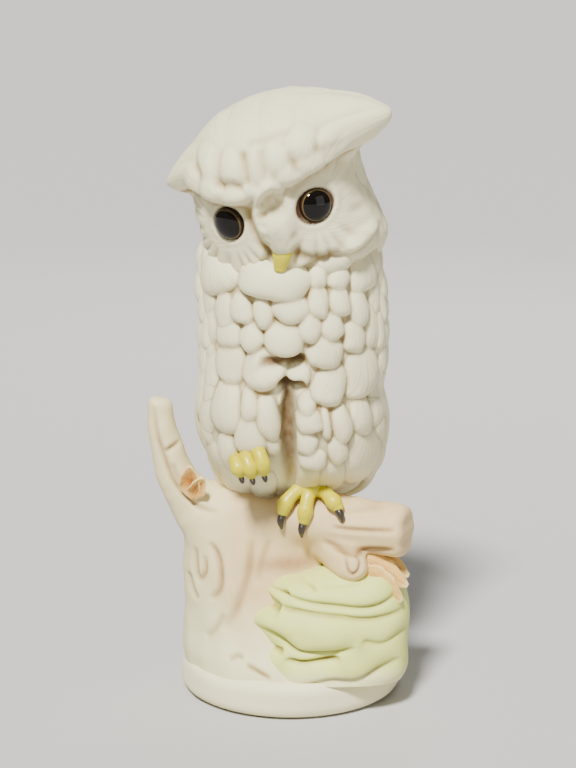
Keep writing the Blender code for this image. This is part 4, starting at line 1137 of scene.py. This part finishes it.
def vertexNormals(verts, quads):
    # the sum of the crosses of the quads' diagonals at each point, turned outwards
    face = np.cross(verts[quads[:, 2]] - verts[quads[:, 0]], verts[quads[:, 3]] - verts[quads[:, 1]])
    normals = sum(gather(corners, face, len(verts)) for corners in quads.T)
    normals /= np.maximum(np.linalg.norm(normals, axis=1, keepdims=True), 1e-9)
    return -normals if ((verts - verts.mean(0)) * normals).sum() < 0 else normals


def gather(places, rows, count):
    # adds each row of three to the place that it belongs to
    return np.stack([np.bincount(places, rows[:, axis], count) for axis in range(3)], 1)


def meshCavity(verts, quads, passes, strength):
    # the average of the neighbours, passed on several times, less the point itself, along the normal
    start, end = np.concatenate([quads[:, [k, (k + 1) % 4]] for k in range(4)]).T
    total = len(verts)
    neighbours = np.bincount(start, minlength=total) + np.bincount(end, minlength=total)
    neighbours = np.maximum(neighbours, 1)[:, None]
    smooth = verts.copy()
    for _ in range(passes):
        near = gather(start, smooth[end], total) + gather(end, smooth[start], total)
        smooth = smooth * 0.4 + near / neighbours * 0.6
    rise = ((smooth - verts) * vertexNormals(verts, quads)).sum(1)
    return np.clip(rise * strength - 0.05, 0, 1)


makeStump()


# moss

mossForm = {
    "columns": 340, "rows": 210, "square": 2.4, "fold": (0.9, 0.8), "swags": 0.7, "uneven": 0.5, "sag": 0.5,
    "grow": ((-5, 1.2, 0), (-0.4, 0, -2.2)),
    # profile: share of the height, share of the width
    "profile": [(0.02, 0.93), (0.12, 0.99), (0.35, 1), (0.6, 0.985), (0.8, 0.91), (0.92, 0.74), (0.985, 0.42),
                (1, 0.04)],
}
# folds of the moss: depth, radius, points as x and z
mossLines = [
    (1, 0.8, [(-1.7, 39.6), (2, 39.6), (5.4, 39), (7.7, 37.8)]),
    (1.4, 1.1, [(-5.5, 37), (2.6, 34.9), (13.9, 33.7), (23.9, 33.2), (31.4, 36.3)]),
    (0.7, 0.9, [(8.2, 38.7), (16.7, 39.3), (25.2, 41.1)]),
    (1.4, 1.1, [(-8.4, 34.3), (-4.5, 32.2), (2.6, 31.6), (13.9, 30.7), (23.9, 29.5), (32.5, 30.9)]),
    (1.2, 1, [(-9.4, 26.4), (-4.5, 24.2), (-0.3, 21.2), (3.4, 19.9), (11.1, 20.1), (18.2, 22.1)]),
    (1.6, 1, [(-2, 17.8), (2.6, 16.5), (8.3, 16.9), (14.5, 18.4)]),
    (1.2, 1.3, [(2.6, 9.9), (11.1, 11.4), (21.1, 12.4), (30.6, 17.4)]),
    (0.6, 1, [(20, 24), (26, 22.5), (33, 25)]), (1.6, 0.9, [(-11, 31), (-7.5, 31.4), (-3.5, 31)]),
    (1.3, 0.9, [(-8.5, 36.8), (-5, 36.2), (-0.5, 36.6)]), (1.2, 0.9, [(-10, 21), (-6, 20), (-2, 19.4)]),
]


def makeMoss():
    # level rings of a squarish ellipse on a domed profile, carved with long folds that sag a little
    form = mossForm
    low, high = (corner + np.array(more) for corner, more in zip(boxOf("moss_mound"), form["grow"]))
    middle, half = (low + high) / 2, (high - low) / 2
    rows = curveThrough([(*point, 0) for point in form["profile"]], form["rows"])
    rise, share = rows[:, :1], rows[:, 1:2]
    turn = np.linspace(-math.pi, math.pi, form["columns"], endpoint=False)
    sine, cosine = np.sin(turn), np.cos(turn)
    square = squareness(sine, cosine, form["square"])
    edge = 1 - 0.1 * ease(0, -0.8, sine) * (0.5 + 0.5 * np.sin(rise * 19.0 + 0.4))
    x = middle[0] + half[0] * share * sine * square * edge
    y = middle[1] - half[1] * share * cosine * square
    z = low[2] + (high[2] - low[2]) * rise + 1.5 * ease(0.5, 1, rise) * sine
    base = np.stack((x, y, z), -1)
    carved = np.zeros_like(x)
    for depth, radius, line in mossLines:
        wide, narrow = (strokeDepth(x, z, line, radius * share) for share in (2.3, 0.8))
        carved += depth * (form["fold"][0] * wide + form["fold"][1] * narrow) * ease(8, 0, y)
    swags = form["swags"] * np.sin(z + 1.1 * np.sin(turn * 2) + 0.4 * np.sin(turn * 5)) * ease(-6, 4, y)
    height = 1 - carved + swags + form["uneven"] * uneven(base, 15, 7)
    sag = np.clip(height, -2, 2) * form["sag"]
    points = base + gridNormals(base) * height[..., None] + downward * sag[..., None]
    # the crease mask is painted shade in the folds and hollows
    masks = {"crease": cavity(height, 14, 1.8), "pale": ease(16, 11, z) * 0.9}
    finishPiece(gridPiece("mossMound", points, masks, mossMaterial), "moss_bisque", "moss_mound")


makeMoss()


# plinth

plinthForm = {"rows": 90, "columns": 320, "rounding": 9, "power": 0.55, "wave": 0.22, "waveSize": 16.0}


def makePlinth():
    # a rounded slab: the side of a superellipse round an ellipse, its edge a little wavy
    form = plinthForm
    low, high = boxOf("base_plinth")
    slope = np.linspace(-math.pi / 2 + 0.01, math.pi / 2 - 0.01, form["rows"])[:, None]
    turn = np.linspace(-math.pi, math.pi, form["columns"], endpoint=False)
    tall = (high[2] - low[2]) / 2
    rise = np.sign(np.sin(slope)) * np.abs(np.sin(slope)) ** form["power"]
    reach = np.abs(np.cos(slope)) ** form["power"]
    halfX, halfY = (high - low)[:2] / 2 - form["rounding"]
    x = (halfX * np.minimum(1, reach * 3) + form["rounding"] * reach) * np.sin(turn)
    y = -(halfY * np.minimum(1, reach * 3) + form["rounding"] * reach) * np.cos(turn)
    points = np.stack((x, y, np.clip(tall + tall * rise + 0 * turn, 0, None)), -1)
    wave = form["wave"] * uneven(points, form["waveSize"], 12) * ease(0.5, 2.5, points[..., 2])
    points[..., :2] *= (1 + wave[..., None] / 32)
    points[..., 2] += wave * ease(2, 6, points[..., 2])
    piece = gridPiece("plinthBase", points, {"crease": np.zeros(points.shape[:2])}, plinthMaterial)
    finishPiece(piece, "white_bisque", "base_plinth")


makePlinth()


# tail

tailForm = {
    "rows": 150, "columns": 110, "thick": 2, "wall": 0.7, "crop": 1, "round": 1.2,
    "width": ([0, 0.05, 0.2, 1], [0.72, 0.9, 1, 0.85]),    # share of the half width up the tail
    "back": (1.6, 3.6),    # how far the tail's back lies in from its box, and how far its top leans in
}


def makeTail():
    # flat feathers side by side: a slab whose back face swells over each feather
    form = tailForm
    low, high = boxOf("tail")
    foot = low[2] + form["crop"]
    along = np.linspace(0, 1, form["rows"])[:, None]
    across = np.linspace(-1, 1, form["columns"])[None, :]
    x = (high[0] - low[0]) / 2 * np.interp(along, *form["width"]) * across
    end = form["round"] * np.sqrt(np.clip(1 - across ** 2, 0, 1))
    z = foot + (high[2] - foot) * along - end * (1 - along)
    middle = high[1] - form["back"][0] - form["back"][1] * ease(0.35, 1, along)
    petals = [(k * 3.4, low[2] + 19.0 + abs(k) * 0.6, 2.5, 20, 0, 1.3 - 0.12 * abs(k)) for k in range(-3, 4)]
    petals += [(k * 4.6, high[2] - 4, 3.6, 8, 0, 2) for k in range(-2, 3)]
    height, barb = layPetals(x, z, petals, 0, seed=6)
    height = soften(height, 1, wrap=False)
    edge = np.sqrt(np.clip(1 - across ** 6, 0, 1)) * np.sqrt(np.clip(1 - (1 - along) ** 14, 0, 1))
    outer = np.stack((x, middle + (form["wall"] + height) * edge, z), -1)
    inner = np.stack((x, middle - form["thick"] * edge, z), -1)
    # painted shade in the hollows between the feathers
    crease = bothFaces(cavity(height, 6, 1.2), np.zeros_like(height))
    masks = plumageMasks(crease, bothFaces(barb))
    piece = gridPiece("tailFeathers", bothFaces(outer, inner), masks, plumageMaterial)
    finishPiece(piece, "white_bisque", "tail")


makeTail()


# leaves

leafForm = {"rows": 70, "columns": 44, "wall": 0.42, "midrib": 0.22, "veins": 0.035}
# piece and node: root, tip, facing, width, curl, ripeness
leaves = {
    ("branchLeafOuter", "branch_leaf_outer"):
        ((-29.2, -6.6, 60.2), (-29.3, -8.6, 70), (-0.2, -1, 0.1), 6.6, 1.6, 1),
    ("branchLeafInner", "branch_leaf_inner"):
        ((-28.8, -7.4, 59.8), (-25.6, -9.6, 66.8), (0.2, -1, 0.1), 5.4, 1.3, 0.9),
    ("logLeafUpper", "log_leaf_upper"):
        ((22.4, -15.6, 46), (34.2, -15.6, 38.8), (0.45, -0.85, 0.5), 8.6, -0.9, 0.25),
    ("logLeafMiddle", "log_leaf_middle"):
        ((20.8, -18.4, 45.2), (33.6, -20.2, 37.2), (0.2, -0.95, 0.35), 7.8, -0.9, 0.3),
    ("logLeafLower", "log_leaf_lower"):
        ((21.4, -20.8, 43), (31.8, -21.8, 33), (0, -0.95, 0.1), 7.2, -0.7, 0.35),
}


def makeLeaf(name, node, root, tip, facing, width, curl, ripe, seed):
    # half width times sin(pi u^0.75), cupped by the square of the place across, with a torn edge, veins and
    # a raised midrib; the two faces are a wall apart
    form = leafForm
    root, tip, facing = (np.array(v, float) for v in (root, tip, facing))
    way = tip - root
    length = np.linalg.norm(way)
    way /= length
    facing -= way * (facing @ way)
    facing /= np.linalg.norm(facing)
    v, u = np.meshgrid(np.linspace(-1, 1, form["columns"]), np.linspace(0, 1, form["rows"]))
    out = np.abs(v)
    rng = np.random.default_rng(seed)
    torn = 1 + (0.05 * np.sin(u * 17 + rng.uniform(0, 6)) + 0.02 * np.sin(u * 37 + rng.uniform(0, 6))) * out
    half = width / 2 * (0.16 + 0.84 * np.sin(math.pi * u ** 0.75) ** 0.8) * torn
    lift = curl * (v ** 2 - 0.35) * np.sin(math.pi * u) + 0.9 * curl * (u - 0.4) ** 2
    lift += 0.25 * np.sin(v * 3 + u * 9) * out
    veins = np.sin(u * 26 - out * 7)
    rib = form["midrib"] * bell(v / 0.1) + form["veins"] * veins * (1 - out)
    side = np.cross(facing, way)
    middle = root + way * (length * u)[..., None] + side * (half * v)[..., None] + facing * lift[..., None]
    wall = form["wall"] * np.sqrt(np.clip(1 - v ** 8, 0, 1)) + 0.03
    front = middle + facing * (wall + rib * (1 - v ** 4))[..., None]
    points = bothFaces(front, middle - facing * wall[..., None])
    # the crease mask is painted shade beside the midrib and in the vein grooves
    masks = {"heart": spot(u, v, 0.45, 0, 0.3, 0.62) * ripe, "edge": ease(0.72, 1, out) + ease(0.86, 1, u),
             "crease": bell((out - 0.14) / 0.07) * 0.5 + 0.12 * np.clip(-veins, 0, 1)}
    masks = {mask: bothFaces(np.clip(values, 0, 1)) for mask, values in masks.items()}
    finishPiece(gridPiece(name, points, masks, leafMaterial), "leaf_bisque", node)


for number, (names, leaf) in enumerate(leaves.items()):
    makeLeaf(*names, *leaf, seed=number + 1)


# floor, lights and camera

studio = {
    "reach": 30, "floor": (0.5, 0.49, 0.475), "floorRough": 0.9,
    "room": (0.8, 0.79, 0.77), "roomStrength": 0.19,
    "sun": {"energy": 8.2, "angle": 10, "color": (1, 0.985, 0.95), "turn": (38, 0, -18)},
    # name: place, target, size, watts, colour
    "lamps": {"fillSoftbox": ((0.55, -0.4, 0.3), (0, 0, 0.09), 0.45, 0.9, (1, 0.99, 0.97)),
              "backSoftbox": ((0.1, 0.6, 0.5), (0, 0, 0.1), 0.5, 1.6, (1, 1, 1))},
}
cameraForm = {"place": (0, -0.54565, 0.21817), "target": (0, 0, 0.0922), "sensor": 24, "lens": 60.06,
              "shift": -0.0039}


def setOut(name, data, place=(0, 0, 0), turn=(0, 0, 0)):
    # puts a light, the camera or the floor into the scene
    holder = bpy.data.objects.new(name, data)
    holder.location = place
    holder.rotation_euler = turn
    bpy.context.scene.collection.objects.link(holder)
    return holder


def makeStage():
    # a pale level sheet
    mesh = bpy.data.meshes.new("floorSheet")
    reach = studio["reach"]
    corners = [(-reach, -reach, 0), (reach, -reach, 0), (reach, reach, 0), (-reach, reach, 0)]
    mesh.from_pydata(corners, [], [(0, 1, 2, 3)])
    material = bpy.data.materials.new("paleFloor")
    material.use_nodes = True
    shader = material.node_tree.nodes["Principled BSDF"]
    shader.inputs["Base Color"].default_value = (*studio["floor"], 1)
    shader.inputs["Roughness"].default_value = studio["floorRough"]
    mesh.materials.append(material)
    setOut("floorSheet", mesh)


def lightUp():
    # a soft sun from the front left, two square lamps that face their targets, and an even pale room
    sun = bpy.data.lights.new("keySun", "SUN")
    sun.energy = studio["sun"]["energy"]
    sun.angle = math.radians(studio["sun"]["angle"])
    sun.color = studio["sun"]["color"]
    setOut("keySun", sun, turn=[math.radians(turn) for turn in studio["sun"]["turn"]])
    for name, (place, target, size, watts, color) in studio["lamps"].items():
        lamp = bpy.data.lights.new(name, "AREA")
        lamp.size = size
        lamp.energy = watts
        lamp.color = color
        x, y, z = np.array(target) - np.array(place)
        setOut(name, lamp, place, (math.atan2(math.hypot(x, y), -z), 0, math.atan2(y, x) - math.pi / 2))
    world = bpy.data.worlds.new("softRoom")
    world.use_nodes = True
    background = world.node_tree.nodes["Background"]
    background.inputs["Color"].default_value = (*studio["room"], 1)
    background.inputs["Strength"].default_value = studio["roomStrength"]
    bpy.context.scene.world = world


def setCamera():
    # looks straight along +Y and down to the target
    form = cameraForm
    view = bpy.data.cameras.new("frontCamera")
    view.sensor_fit = "VERTICAL"
    view.sensor_height = form["sensor"]
    view.lens = form["lens"]
    view.shift_x = form["shift"]
    drop = math.atan2(form["place"][2] - form["target"][2], -form["place"][1])
    bpy.context.scene.camera = setOut("frontCamera", view, form["place"], (math.pi / 2 - drop, 0, 0))


makeStage()
lightUp()
setCamera()
print("stage, lights and camera ready")
